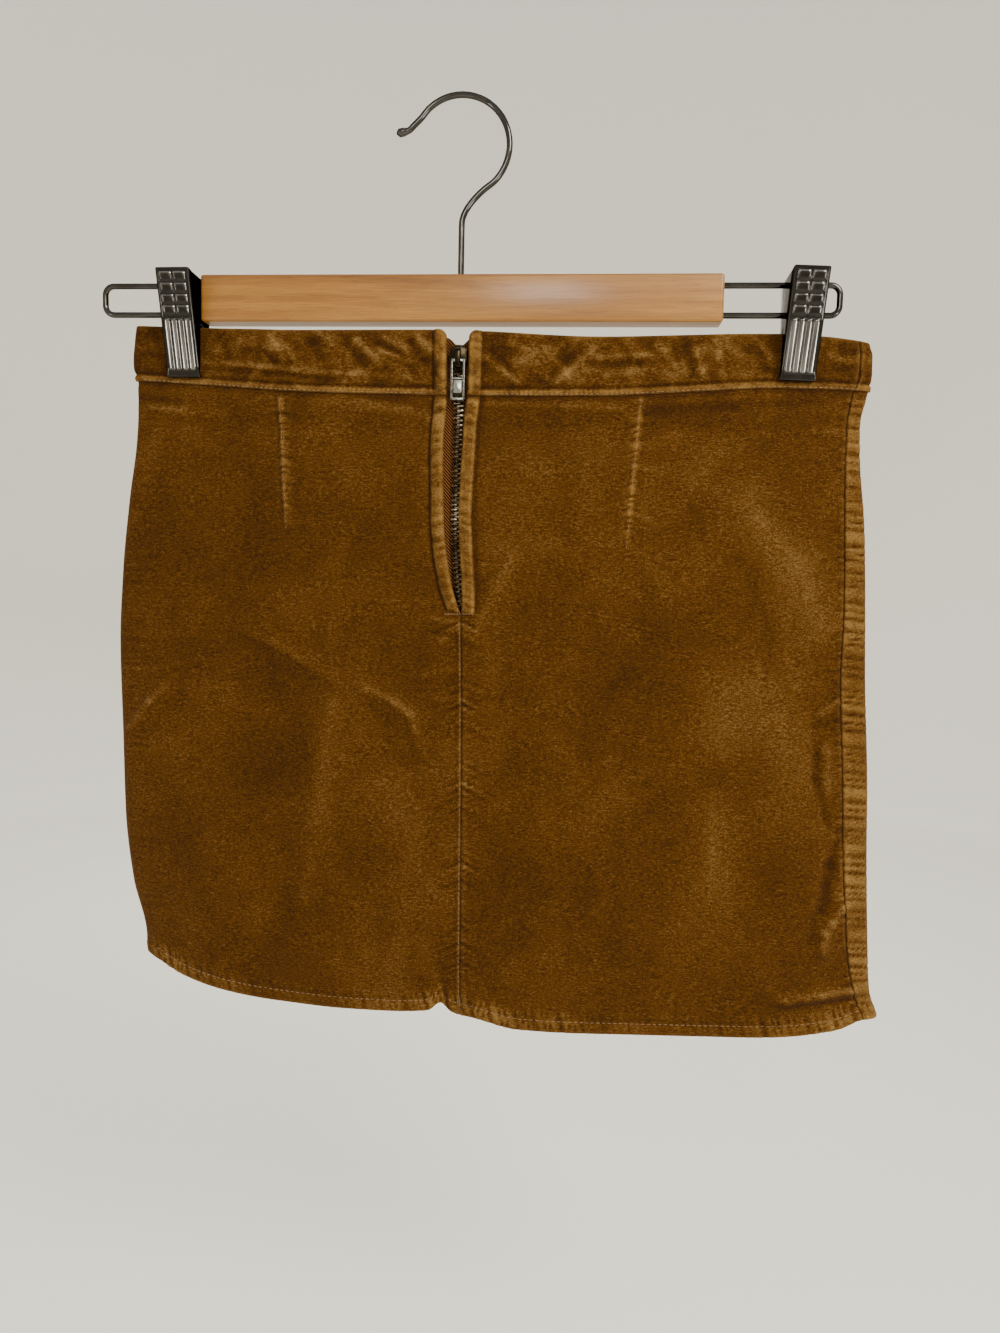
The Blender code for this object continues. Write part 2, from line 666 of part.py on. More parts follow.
def slider_outline(x, width, z_low, z_high):
    """Shield shape: a round top and straight sides that draw in to the lower end."""
    points = []
    radius = width / 2
    steps = 8
    for k in range(steps + 1):
        angle = math.pi * k / steps
        drop = radius * SLIDER_CROWN * (1 - math.sin(angle))
        points.append((x + radius * math.cos(angle), z_high - drop))
    shoulder, foot = radius * SLIDER_SHOULDER, radius * SLIDER_FOOT
    z_shoulder = z_low + SLIDER_FOOT_HEIGHT
    points += [(x - shoulder, z_shoulder), (x - foot, z_low), (x + foot, z_low), (x + shoulder, z_shoulder)]
    return points


def strap_outline(face, top, low, high, corner):
    """Outline in y and z of a low arch on a face, with its four corners cut off."""
    return [(face, low), (top + corner, low), (top, low + corner),
            (top, high - corner), (top + corner, high), (face, high)]


def zip_slider(mat, collection, tools):
    """Slider body with its bridge over the pull's top bar."""
    x = zip_place(sum(SLIDER_Z) / 2)[3]
    outline = slider_outline(x, SLIDER_WIDTH, *SLIDER_Z)
    obj = plate("zip_slider", outline, SLIDER_Y[0], SLIDER_Y[1], mat, collection)
    face = SLIDER_Y[0]
    top = face - BRIDGE_RISE - BRIDGE_WALL
    half = BRIDGE_WIDTH / 2
    low, high = BRIDGE_Z
    strap = strap_outline(face + BRIDGE_ROOT, top, low, high, BRIDGE_CORNER)
    boolean(obj, plate("slider_bridge", strap, x - half, x + half, None, tools, axis="X"), "UNION")
    hole = strap_outline(face, face - BRIDGE_RISE, low + BRIDGE_WALL, high - BRIDGE_WALL,
                         BRIDGE_INNER_CORNER)
    boolean(obj, plate("slider_bridge_hole", hole, x - 2 * half, x + 2 * half, None, tools, axis="X"))
    return x


def zip_pull(mat, collection, tools, x):
    """Pull tab with a window round the bridge; its origin lies on its hinge."""
    axis = Vector((x, SLIDER_Y[0] - PULL_AXIS_OUT, PULL_AXIS_Z)) * MM
    half = PULL_WIDTH / 2
    corner = PULL_CORNER
    in_x, high, low = half - corner, PULL_TOP - corner, corner - PULL_LENGTH
    outline = []
    for cx, cz, start in ((in_x, high, 0), (-in_x, high, 90), (-in_x, low, 180), (in_x, low, 270)):
        outline += arc(cx, cz, corner, start, start + 90, 3)
    obj = plate("zip_pull", outline, -PULL_WALL / 2, PULL_WALL / 2, mat, collection)
    width, start, end = PULL_WINDOW
    window = box_mesh("pull_window", (-width / 2, -2, -end), (width / 2, 2, -start))
    tool = cutter("pull_window", window, tools)
    tool.location = axis
    boolean(obj, tool)
    obj.location = axis


# ---------------------------------------------------------------- hanger
def wire(name, points, diameter, mat, collection, radii=None):
    """Round wire through points, with closed ends."""
    curve = bpy.data.curves.new(name, "CURVE")
    curve.dimensions = "3D"
    curve.bevel_depth = diameter / 2 * MM
    curve.bevel_resolution = 2
    curve.use_fill_caps = True
    spline = curve.splines.new("POLY")
    spline.points.add(len(points) - 1)
    for i, (x, y, z) in enumerate(points):
        spline.points[i].co = (x * MM, y * MM, z * MM, 1.0)
        spline.points[i].radius = radii[i] if radii else 1.0
    return new_object(name, curve, mat, collection)


def spline_points(points, each=3):
    """Points on a smooth curve through the given ones."""
    route = [np.array(p, float) for p in points]
    route = [2 * route[0] - route[1]] + route + [2 * route[-1] - route[-2]]
    out = []
    for i in range(1, len(route) - 2):
        p0, p1, p2, p3 = route[i - 1:i + 3]
        for k in range(each):
            t = k / each
            out.append(0.5 * (2 * p1 + (p2 - p0) * t + (2 * p0 - 5 * p1 + 4 * p2 - p3) * t * t
                              + (3 * p1 - p0 - 3 * p2 + p3) * t ** 3))
    out.append(route[-2])
    return out


def hanger_hook(mat, collection):
    """Hook of bent wire: stem, neck, crown and a turned-out tip with a rounded end."""
    centre_z = WIRE / 2 - HOOK_RADIUS
    route = list(HOOK_NECK)
    route += arc(0.0, centre_z, HOOK_RADIUS, *HOOK_ARC, HOOK_STEPS)
    route += list(HOOK_TIP)
    stem = [(HOOK_NECK[0][0], BAR_Z[1] - HOOK_IN_BAR), (HOOK_NECK[0][0], BAR_Z[1] + 2.0)]
    curve = spline_points(route, 2)
    points = [(x, 0.0, z) for x, z in stem + [tuple(p) for p in curve]]
    radii = [1.0] * (len(points) - len(HOOK_KNOB)) + list(HOOK_KNOB)
    wire("hanger_hook", points, WIRE, mat, collection, radii)


def hanger_rails(mat, collection):
    """A U of wire out of each end of the bar, on which the clip slides."""
    low, high = RAIL_Z
    r = RAIL_CORNER
    for side, name, end in ((-1, "hanger_rail_left", RAIL_ENDS[0]), (1, "hanger_rail_right", RAIL_ENDS[1])):
        start = side * (BAR_X - RAIL_IN_BAR)
        corner_x = end - side * r
        outwards = 90 - side * 90
        points = [(start, high)]
        points += arc(corner_x, high - r, r, 90, outwards, 4)
        points += arc(corner_x, low + r, r, outwards, outwards - side * 90, 4)
        points += [(start, low)]
        wire(name, [(x, 0.0, z) for x, z in points], RAIL_WIRE, mat, collection)


def drill(name, centre, radius, depth, direction, collection):
    """Round cutter along X or Z."""
    bm = bmesh.new()
    bmesh.ops.create_cone(bm, cap_ends=True, segments=12, radius1=radius * MM, radius2=radius * MM,
                          depth=depth * MM)
    if direction == "X":
        bmesh.ops.rotate(bm, verts=bm.verts, cent=(0, 0, 0), matrix=Matrix.Rotation(math.pi / 2, 3, "Y"))
    bmesh.ops.translate(bm, verts=bm.verts, vec=Vector(centre) * MM)
    return cutter(name, mesh_from(bm, name), collection)


def hanger_bar(mat, collection, tools):
    """Wooden bar with rounded edges and blind holes for the hook and the rails."""
    mesh = box_mesh("hanger_bar", (-BAR_X, -BAR_HALF_DEPTH, BAR_Z[0]), (BAR_X, BAR_HALF_DEPTH, BAR_Z[1]))
    obj = new_object("hanger_bar", mesh, mat, collection)
    bevel(obj, BAR_EDGE, 3)
    stem = HOOK_NECK[0][0]
    depth = 2 * (HOOK_IN_BAR + 1.0)
    boolean(obj, drill("hook_hole", (stem, 0, BAR_Z[1]), WIRE / 2 + HOLE_CLEARANCE, depth, "Z", tools))
    for side, word in ((-1, "left"), (1, "right")):
        for z, level in zip(RAIL_Z, ("low", "high")):
            centre = (side * BAR_X, 0, z)
            radius = RAIL_WIRE / 2 + HOLE_CLEARANCE
            hole = drill(f"rail_hole_{word}_{level}", centre, radius, 2 * RAIL_IN_BAR + 1.0, "X", tools)
            boolean(obj, hole)


def clip_lever(name, side, width, pivot, mat, collection, tools):
    """Pressed lever: a plate with two side flanges, holes for the rails and a turned-in jaw."""
    (foot_y, foot_z), (head_y, head_z) = LEVER_FRONT
    outline = [(-JAW_OUT, JAW_Z), (-foot_y, foot_z), (-head_y, head_z)]
    outline += [(-y, z) for y, z in FLANGE]
    outline = [(y * -side, z - CLIP_PIVOT_Z) for y, z in outline]
    obj = plate(name, outline, -width / 2, width / 2, mat, collection, axis="X")
    slope = (head_y - foot_y) / (head_z - foot_z)
    wall_y = LEVER_WALL * math.hypot(1.0, slope)
    floor_z = JAW_Z + JAW_FLOOR
    over_z = head_z + 4.0
    inner_foot = foot_y + slope * (floor_z - foot_z) - wall_y
    inner_head = foot_y + slope * (over_z - foot_z) - wall_y
    behind = 9.0
    block = [(-inner_foot, floor_z), (-inner_head, over_z), (behind, over_z), (behind, floor_z)]
    block = [(y * -side, z - CLIP_PIVOT_Z) for y, z in block]
    inside = width / 2 - FLANGE_WALL
    hollow = plate(name + "_hollow", block, -inside, inside, None, tools, axis="X")
    hollow.parent = pivot
    boolean(obj, hollow)
    for z, level in zip(RAIL_Z, ("low", "high")):
        centre = (0, 0, z - CLIP_PIVOT_Z)
        hole = drill(f"{name}_hole_{level}", centre, RAIL_HOLE, width + 4.0, "X", tools)
        hole.parent = pivot
        boolean(obj, hole)
    obj.parent = pivot
    return obj


def hanger_clips(steel, collection, tools):
    """Two clips, each with a front and a back lever and the spring between them."""
    for word, x, roll in (("left", CLIP_X[0], -CLIP_ROLL[0]), ("right", CLIP_X[1], CLIP_ROLL[1])):
        pivot = bpy.data.objects.new(f"clip_{word}_pivot", None)
        collection.objects.link(pivot)
        pivot.location = Vector((x, 0, CLIP_PIVOT_Z)) * MM
        pivot.rotation_euler = (0.0, math.radians(roll), 0.0)
        narrow = CLIP_WIDTH - 2 * (FLANGE_WALL + SEAM_GAP)
        clip_lever(f"clip_{word}_front", -1, CLIP_WIDTH, pivot, steel, collection, tools)
        clip_lever(f"clip_{word}_back", 1, narrow, pivot, steel, collection, tools)
        bm = bmesh.new()
        length = narrow - 2 * (FLANGE_WALL + SEAM_GAP)
        radius = SPRING_RADIUS * MM
        bmesh.ops.create_cone(bm, cap_ends=True, segments=16, radius1=radius, radius2=radius,
                              depth=length * MM)
        bmesh.ops.rotate(bm, verts=bm.verts, cent=(0, 0, 0), matrix=Matrix.Rotation(math.pi / 2, 3, "Y"))
        name = f"clip_{word}_spring"
        spring = new_object(name, mesh_from(bm, name), steel, collection)
        spring.parent = pivot


def main():
    """Clear the scene and build the skirt on its hanger."""
    for obj in list(bpy.data.objects):
        bpy.data.objects.remove(obj)
    parts = bpy.data.collections.new(PART_NAME)
    tools = bpy.data.collections.new("cutters")
    bpy.context.scene.collection.children.link(parts)
    bpy.context.scene.collection.children.link(tools)
    cloth = material("ochre_cloth", (0.12, 0.05, 0.008), 0.9)
    tape = material("brown_tape", (0.06, 0.022, 0.006), 0.85)
    brass = material("antique_brass", (0.20, 0.15, 0.09), 0.4, 1.0)
    steel = material("dark_nickel", (0.16, 0.15, 0.14), 0.25, 1.0)
    wood = material("varnished_wood", (0.47, 0.26, 0.10), 0.35)
    build_cloth(parts, cloth)
    zip_tape("zip_tape_left", tape, parts, -1)
    zip_tape("zip_tape_right", tape, parts, 1)
    zip_chain(brass, parts)
    slider_x = zip_slider(brass, parts, tools)
    zip_pull(brass, parts, tools, slider_x)
    hanger_hook(steel, parts)
    hanger_bar(wood, parts, tools)
    hanger_rails(steel, parts)
    hanger_clips(steel, parts, tools)


main()
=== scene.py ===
"""Looks of a corduroy mini skirt on its clip hanger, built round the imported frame.

Lengths in the tables are millimetres in the frame's axes: the skirt's back, with its zip, faces
-Y, +X is to the right as the back is seen, and the hook's crown is at the origin.
"""
import math

import bmesh
import bpy
import numpy as np
from mathutils import Matrix, Vector
from mathutils.bvhtree import BVHTree


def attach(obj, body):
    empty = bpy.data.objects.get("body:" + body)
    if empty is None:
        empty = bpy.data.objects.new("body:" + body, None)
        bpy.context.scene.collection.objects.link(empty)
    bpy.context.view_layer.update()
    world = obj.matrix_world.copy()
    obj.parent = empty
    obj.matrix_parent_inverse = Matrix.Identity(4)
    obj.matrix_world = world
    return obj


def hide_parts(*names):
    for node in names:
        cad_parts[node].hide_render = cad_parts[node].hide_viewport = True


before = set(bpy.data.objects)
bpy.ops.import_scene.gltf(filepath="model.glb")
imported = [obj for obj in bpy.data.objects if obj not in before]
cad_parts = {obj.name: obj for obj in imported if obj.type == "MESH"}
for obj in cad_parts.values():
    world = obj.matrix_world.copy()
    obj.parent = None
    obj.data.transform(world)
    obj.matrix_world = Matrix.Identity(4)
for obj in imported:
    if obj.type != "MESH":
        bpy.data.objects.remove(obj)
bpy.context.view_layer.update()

MM = 0.001
AXES = Vector((1, 0, 0)), Vector((0, 1, 0)), Vector((0, 0, 1))
BODY, PULL_BODY = "garment", "pull"
SHARP = 40.0              # degrees, above which an edge is shown sharp


class Table:
    """Rows of numbers under named columns, the first of which is each row's place."""

    def __init__(self, columns, *rows):
        self.names = columns.split()
        self.columns = dict(zip(self.names, np.array(rows, float).T))

    def at(self, name, place):
        """A column's value at a place, on a smooth curve through the rows."""
        return smooth(self.columns[self.names[0]], self.columns[name], place)


# -- cloth: the solids' own sizes
PANEL_WALL, BAND_WALL = 1.6, 1.8
SEAM_GAP = 0.06           # narrower than between the solids, so that no light shows through
HEM_BAND, HEM_RISE = 7.0, 0.6
LIP_WIDTH = 7.0
BAND_HEIGHT, CENTRE_LENGTH = 30.0, 319.0
SEAM_RIDGE, SEAM_RIDGE_RISE = 2.6, 0.7
LEFT_SEAM_IN = 10.0
ZIP_END = 0.347           # share of the skirt's length
CLIP_X = (-141.7, 170.8)
CLIP_PINCH = 2.3          # half depth of the cloth in a clip
CLIP_FLAT, CLIP_FADE, CLIP_FADE_SHARE = 11.0, 30.0, 0.14
FRONT_SAG = 5.5           # the front's top edge hangs this much lower between the clips
SECTIONS = Table("share left right half_depth fold_radius seam_in",
    (0, -168, 205, 5, 2.7, 8), (0.05, -167.9, 201.8, 5.2, 2.7, 7),
    (0.1, -168.8, 202.5, 5.6, 2.8, 7.8), (0.2, -173, 206.3, 6.6, 3, 10.5),
    (0.32, -177, 208.8, 8, 3.2, 11.5), (0.45, -179, 210.9, 9.4, 3.5, 13.4),
    (0.6, -178, 214.4, 11, 3.8, 13.6), (0.75, -177, 216.6, 12.4, 4, 13.2),
    (0.87, -172.9, 219, 13.3, 4.2, 12), (0.95, -166.6, 221, 13.8, 4.2, 9.5),
    (1, -164.6, 225.2, 14, 4.2, 7.7),
)
BAND_SECTIONS = Table("share left right half_depth fold_radius seam_in",
    (0, -168.3, 204.3, 4.8, 2.7, 6), (0.3, -169.6, 206.2, 5, 2.7, 6.6),
    (0.7, -170.2, 206.2, 5.1, 2.7, 6.8), (1, -168.6, 205.2, 5, 2.7, 7.6),
)
WAIST = Table("x top seam",
    (-170, -111.2, -139.3), (-133, -112.2, -141.2), (-81, -113.6, -144.6), (-11, -113.4, -145.9),
    (9, -113.9, -146.1), (72, -116.6, -145.7), (121, -115.5, -143.3), (160, -114.5, -141),
    (184, -115.9, -141.4), (206, -119.2, -142.4),
)
HEM_BACK = Table("x z",
    (-165, -444.6), (-156, -448.1), (-147, -452.6), (-138, -455.9), (-121, -460), (-88, -464.8),
    (-39, -467.6), (-8, -465.2), (-1.5, -461.4), (4, -465), (17, -467.8), (41, -472.3),
    (88, -472.2), (149, -471.2), (180, -469.2), (203, -466), (219, -460.4), (226, -460.3),
)
HEM_FRONT = Table("x z",
    (-165, -444.6), (-152, -450.5), (-120, -459), (-60, -465.5), (20, -469), (100, -470.5),
    (180, -468.5), (212, -463.5), (226, -460.3),
)
ZIP_OPENING = Table("share middle gap",
    (0, 0.85, 10.1), (0.035, -0.2, 9.4), (0.06, -0.75, 9.7), (0.13, -1.2, 8.6), (0.18, -1.2, 7.6),
    (0.222, -0.5, 7.4), (0.298, 2.4, 5.2), (0.336, 4.5, 1.8), (0.347, 5.15, 0.06), (1, 8.95, 0.06),
)
BAND_OPENING = Table("share middle gap",
    (0, 0.6, 11.2), (1, 0.85, 10.1),
)
CHAIN_LINE = Table("z x",
    (-256, 5), (-240, 3), (-216, 1.3), (-186, 1.1), (-151, 1.4), (-110, 1.2),
)

# -- cloth: folds and creases
# Folds of the solids: x0, z0, x1, z1, half width and height of a ridge, or a trough below 0
BACK_FOLDS = (
    (-106.4, -268, -62.3, -292.3, 6, 1.3), (-45.5, -296.5, -19, -311, 6, 1.5),
    (-172.6, -322.2, -153.3, -300.8, 5, 1.5), (-84, -309, -92, -408, 15, -1.8),
    (-12, -274, 3, -262, 5, 1), (10.3, -269.6, 29.8, -228.5, 6, 1.3),
    (148, -326, 152, -392, 17, -2), (122, -188, 183, -258, 13, 1.8),
    (203.8, -401.8, 193.5, -424.3, 6, 1.5), (174.2, -451.3, 210, -444.8, 6, 1.3),
    (184, -306, 189, -356, 8, -1.6), (-158, -160, -95, -163, 9, -1.3),
    (115, -161, 186, -157, 9, -1.3), (-122, -372, -118, -470, 26, 2.2),
    (-40, -392, -38, -470, 20, -1.8), (-1.5, -444, -1.5, -464, 4.5, -2.4),
    (58, -380, 62, -476, 30, 1.8), (168, -372, 176, -476, 22, 1.6),
)
FRONT_FOLDS = (
    (-120, -250, -60, -282, 9, 1.4), (95, -240, 150, -205, 12, 1.6),
    (-150, -164, -90, -168, 10, -1.3), (105, -166, 180, -160, 10, -1.3),
    (-110, -350, -116, -468, 26, 2), (-30, -330, -24, -474, 24, -2), (64, -340, 58, -476, 28, 2),
    (150, -320, 158, -474, 22, -1.6),
)
# Finer creases of the panels, in the same columns
BACK_CREASES = (
    (-106.4, -268, -93.1, -274.9, 2.4, 0.18), (-93.1, -274.9, -80.9, -281.3, 2.2, 0.25),
    (-80.9, -281.3, -62.3, -292.3, 2.4, 0.18), (-45.5, -296.5, -28.6, -303.2, 2, 0.38),
    (-28.6, -303.2, -20.2, -309.7, 1.9, 0.52), (-20.2, -309.7, -18, -318, 2.1, 0.42),
    (-18, -318, -12.7, -330.4, 2.8, 0.25), (-172.6, -322.2, -161, -307.4, 1.8, 0.75),
    (-161, -307.4, -153.3, -300.8, 2, 0.5), (10.3, -269.6, 29.8, -228.5, 2.6, 0.45),
    (203.8, -401.8, 197.8, -410.4, 2, 0.9), (197.8, -410.4, 194.6, -415.8, 1.8, 1.1),
    (194.6, -415.8, 193.5, -424.3, 1.8, 0.9), (189.5, -407, 188, -420, 3, -0.6),
    (174.2, -451, 194.1, -448, 1.8, 0.6), (194.1, -448, 211, -445, 1.8, 0.8),
    (174.2, -455, 211, -449.5, 2.2, -0.7), (187, -318.2, 187.2, -337.6, 2.4, -0.6),
    (187.2, -337.6, 193.3, -358.4, 2.6, -0.45), (192, -322, 193, -342, 2.6, 0.5),
    (200.8, -362.7, 195.9, -381, 2.8, -0.7), (195.9, -381, 192.7, -404.1, 3, -0.8),
    (204, -372, 202, -398, 3.4, 0.5), (187.7, -303.4, 197.4, -297.1, 2, 0.7),
    (185, -311, 196, -306, 2.2, -0.4), (118.3, -187.3, 153.2, -206.4, 5, 0.12),
    (153.2, -206.4, 173.8, -230.5, 5, 0.16), (173.8, -230.5, 185.2, -264.9, 4.6, 0.2),
    (134.4, -347.2, 135.4, -391.5, 4, 0.2), (-62.5, -306, -75.9, -411.2, 4.5, 0.3),
    (3.4, -261.6, -9.7, -260, 1.2, 0.5), (3.4, -264.5, -5.5, -271.8, 1.3, 0.6),
    (2.4, -268.5, -12, -266, 1.6, -0.4), (2.8, -285, -13.3, -289.5, 1.7, 0.35),
    (4.5, -299.8, -7.7, -301.5, 1.5, 0.35), (-160.1, -152.8, -144.3, -155.2, 2.2, 0.6),
    (-144.3, -155.2, -122, -156.9, 2.6, 0.35), (-166, -148.5, -146, -150.5, 2.4, -0.6),
    (-48.5, -151.9, -12.9, -157.8, 2.6, 0.35), (-44, -148.8, -13, -151.5, 1.8, -0.4),
    (15, -150.5, 54.6, -151.7, 1.8, 0.3), (54.6, -151.7, 83.7, -152.9, 1.8, 0.35),
    (93.8, -154.2, 137.9, -151, 2.6, -0.5), (137.9, -151, 187, -146.4, 2.6, -0.45),
    (177.9, -161.9, 192, -163.2, 2, 0.4), (98, -171, 118, -163, 3.6, 0.3),
    (92, -181, 104, -184, 2.4, 0.25), (92, -205, 103, -209, 2.2, 0.25),
    (-13.1, -156, -8.1, -153.1, 1, -0.6), (-14.6, -160.3, -8.5, -156.4, 1.6, 0.45),
    (3.3, -152, 8.3, -154.6, 1, -0.6), (2.9, -158.9, 7.9, -156.7, 1.4, 0.45),
    (-15, -181, -9, -183, 1.4, -0.35), (-14.6, -203, -8.4, -206, 1.5, -0.35),
    (3, -193, 8.6, -190, 1.4, -0.35), (2.6, -221, 8, -219, 1.5, -0.35),
)
FRONT_CREASES = (
    (-112, -256, -84, -271, 2.4, 0.45), (-84, -271, -60, -286, 2.6, 0.35),
    (60, -300, 84, -291, 2.2, 0.5), (84, -291, 101, -276, 2.4, 0.4),
    (-166, -330, -150, -312, 1.9, 0.65), (193, -300, 205, -286, 1.9, 0.6),
    (-150, -152, -96, -158, 2.6, -0.45), (-92, -151, -30, -150, 2, 0.35),
    (24, -151, 88, -153, 2.2, 0.35), (96, -153, 160, -149, 2.6, -0.45),
    (-158, -404, -140, -425, 2.4, 0.5), (176, -398, 186, -428, 2.4, 0.6),
    (30, -350, 26, -404, 4, 0.3), (110, -186, 150, -214, 5, 0.35),
    (-130, -200, -100, -182, 5, 0.3),
)
# The same for the waistband
BAND_CREASES_BACK = (
    (-133, -129.7, -106.8, -132.1, 1.6, 0.45), (-106.8, -132.1, -83.4, -134.5, 1.5, 0.55),
    (-83.4, -134.5, -54.9, -136.2, 1.5, 0.4), (-54.9, -136.2, -24.2, -137.5, 1.5, 0.35),
    (-130, -133.4, -62, -139, 1.7, -0.4), (-112, -119.6, -96.4, -123.9, 2.2, 0.45),
    (-96.4, -117.7, -88.6, -128.9, 2.2, 0.55), (-102, -121, -94, -131, 2, -0.45),
    (-70.5, -115.2, -65.3, -121.4, 2.2, 0.45), (-76, -118, -70, -128, 2.4, -0.4),
    (-51.9, -118.8, -39.6, -131.1, 2.1, 0.6), (-57, -121, -47, -132, 2, -0.5),
    (-37.2, -117.6, -25.6, -124.9, 2.1, 0.55), (-39.7, -123.7, -24.3, -129.8, 1.8, 0.4),
    (-40, -121, -27, -127.5, 1.6, -0.45), (-58.8, -141.1, -51.7, -134.9, 1.7, 0.45),
    (-106.8, -140.2, -101.6, -132.7, 1.8, 0.4), (-164.7, -126.1, -154.1, -127.3, 1.5, -0.55),
    (-164.8, -131.7, -154.2, -133.6, 1.8, 0.4), (-88.6, -122.7, -80.8, -132.6, 1.9, 0.45),
    (-20.7, -117.5, -11.7, -125.5, 2.2, 0.65), (-24, -120, -16, -130, 2, -0.5),
    (-123.8, -117.8, -118.6, -127.8, 2.2, -0.4), (14.1, -127.9, 30.6, -139.4, 2, 0.5),
    (17, -124, 27, -133, 2.2, -0.55), (29, -132.2, 40.6, -124.9, 1.8, 0.45),
    (51.3, -139.3, 68.4, -123.4, 1.8, 0.65), (48, -136, 62, -122, 2, -0.45),
    (45, -124.2, 57.1, -137.8, 1.9, 0.4), (68.5, -127.7, 94.6, -126.2, 1.8, 0.45),
    (66, -131, 92, -130, 2, -0.45), (74.6, -136.3, 97.7, -133.3, 1.8, 0.4),
    (119, -123.2, 123.8, -137.4, 2, 0.45), (114, -122, 118, -136, 2, -0.45),
    (130.5, -124.6, 132.3, -134.5, 1.9, 0.45), (148.8, -118.9, 156.2, -125.9, 2, 0.4),
    (152.2, -131.6, 162.3, -135.8, 1.8, -0.45), (184.4, -125.8, 194.4, -128.5, 1.6, 0.4),
    (186.2, -132.8, 197.3, -131.3, 1.6, -0.4), (25.8, -120.7, 36.2, -123.5, 1.9, 0.5),
    (79.9, -119.1, 86, -127.6, 2, -0.4), (100.2, -120.4, 109.2, -131.8, 2, 0.45),
    (-11.7, -136, -7.4, -138.9, 1.2, -0.45), (4.7, -134.6, 9, -135.3, 1.2, -0.45),
    (6.1, -144, 9, -142, 1.2, -0.3), (-12.6, -121, -9.4, -128, 1, 0.3),
)
BAND_CREASES_FRONT = (
    (-150, -130, -128, -126, 1.8, 0.4), (-118, -120, -104, -129, 2, 0.5),
    (-104, -134, -74, -131, 1.7, 0.4), (-92, -119, -82, -127, 2.1, -0.45),
    (-66, -135, -54, -122, 1.9, 0.55), (-48, -120, -38, -133, 2, -0.45),
    (-32, -127, -8, -125, 1.8, 0.4), (2, -136, 14, -124, 1.9, 0.5),
    (18, -121, 26, -131, 2.1, -0.45), (38, -131, 66, -134, 1.8, 0.45),
    (52, -119, 60, -127, 2, 0.4), (76, -137, 88, -124, 1.9, 0.55), (98, -122, 106, -133, 2, -0.45),
    (112, -130, 132, -127, 1.8, 0.4), (140, -121, 150, -132, 2, 0.45),
)
# Zones of lighter or darker nap, and on the back some painted shade: x, z, reach_x, reach_z and
# amount
BACK_NAP_AND_SHADE = (
    # painted shade: the wide dark zone at x -120, z -385, in the lower left
    (-170, -330, 14, 90, -0.05), (-120, -385, 60, 80, -0.06), (-92, -326, 28, 26, -0.05),
    (-32, -352, 14, 26, 0.07), (-88, -206, 62, 44, -0.05), (-66, -345, 8, 44, 0.05),
    (20, -290, 10, 20, 0.08), (84, -208, 44, 32, 0.06), (40, -192, 20, 30, 0.05),
    (174, -230, 16, 34, 0.08), (96, -282, 36, 26, -0.05), (152, -306, 30, 28, 0.12),
    (146, -380, 14, 32, 0.1), (108, -372, 14, 40, -0.04), (176, -436, 22, 22, -0.05),
    # painted shadow: the thin dark bands at z -158 here and on the next line, along the folds
    # under the waist seam
    (52, -408, 46, 50, -0.04), (-132, -436, 26, 20, 0.03), (-70, -158, 90, 5, -0.06),
    (100, -158, 86, 5, -0.05),
)
FRONT_NAP = (
    (-150, -330, 16, 80, 0.1), (196, -340, 12, 80, 0.1), (-70, -240, 50, 40, -0.05),
    (80, -230, 50, 36, 0.06), (20, -330, 46, 44, -0.05), (-50, -400, 40, 34, 0.07),
    (120, -390, 36, 40, 0.08),
)
# Darts: x and z at the waist and at the tip
DARTS = (
    (-91.2, -147.6, -87, -214.4), (93.2, -146.8, 88.1, -223.3),
)
DART_RIDGE, DART_RIDGE_HALF = 0.55, 0.9     # the sewn line's height and half width
# Puckers: height, reach from the seam and pitch, or height and pitch
SEAM_PUCKERS = (0.40, 8.0, 4.8)
DART_PUCKERS = (0.60, 4.4, 3.8)
SIDE_PUCKERS = (0.70, 7.0, 4.8)
HEM_PUCKERS = (0.42, 3.9)
RIDGE_PUCKERS = (0.28, 4.6)
LIP_PUCKERS = (0.30, 6.2)
BEADS = (0.26, 2.5)       # the same for the beaded stretches of the waist seam
BEAD_STRETCHES = ((-66.0, -14.0), (14.0, 92.0))
LIP_ROLL = (1.30, 3.3, 3.7)     # the rolled lip's height, its middle and its half width
LIP_CORNER = 4.0          # radius of a lip's upper corner
CLOTH_EDGE, LIP_EDGE, HEM_EDGE, TOP_EDGE = 0.6, 1.0, 1.0, 0.85     # radii
EDGE_STEPS = (0.0, 0.12, 0.3, 0.6, 1.0)
PAINTED_SLOPE_SHADE = 0.48         # painted light and shade: how much lighter or darker a slope of 1 is painted
FOLD_TONE = 0.28          # share of a fold's height that counts for this
# Cloth pieces: solid, side, lengths round the ring in mm, flat size in m and what it hangs from
CLOTH_PIECES = (
    ("back_panel_right", "right", (184, 12), (0.200, 0.329), ["waistband_back_right"]),
    ("back_panel_left", "left", (12, 205), (0.212, 0.323), ["waistband_back_left"]),
    ("front_panel", "front", (195, 29), (0.405, 0.328), ["waistband_front"]),
    ("waistband_back_right", "right", (200, 12), (0.199, 0.030), ["clip_right_front"]),
    ("waistband_back_left", "left", (12, 190), (0.185, 0.031), ["clip_left_front"]),
    ("waistband_front", "front", (290, 20), (0.376, 0.031), ["clip_left_back", "clip_right_back"]),
)

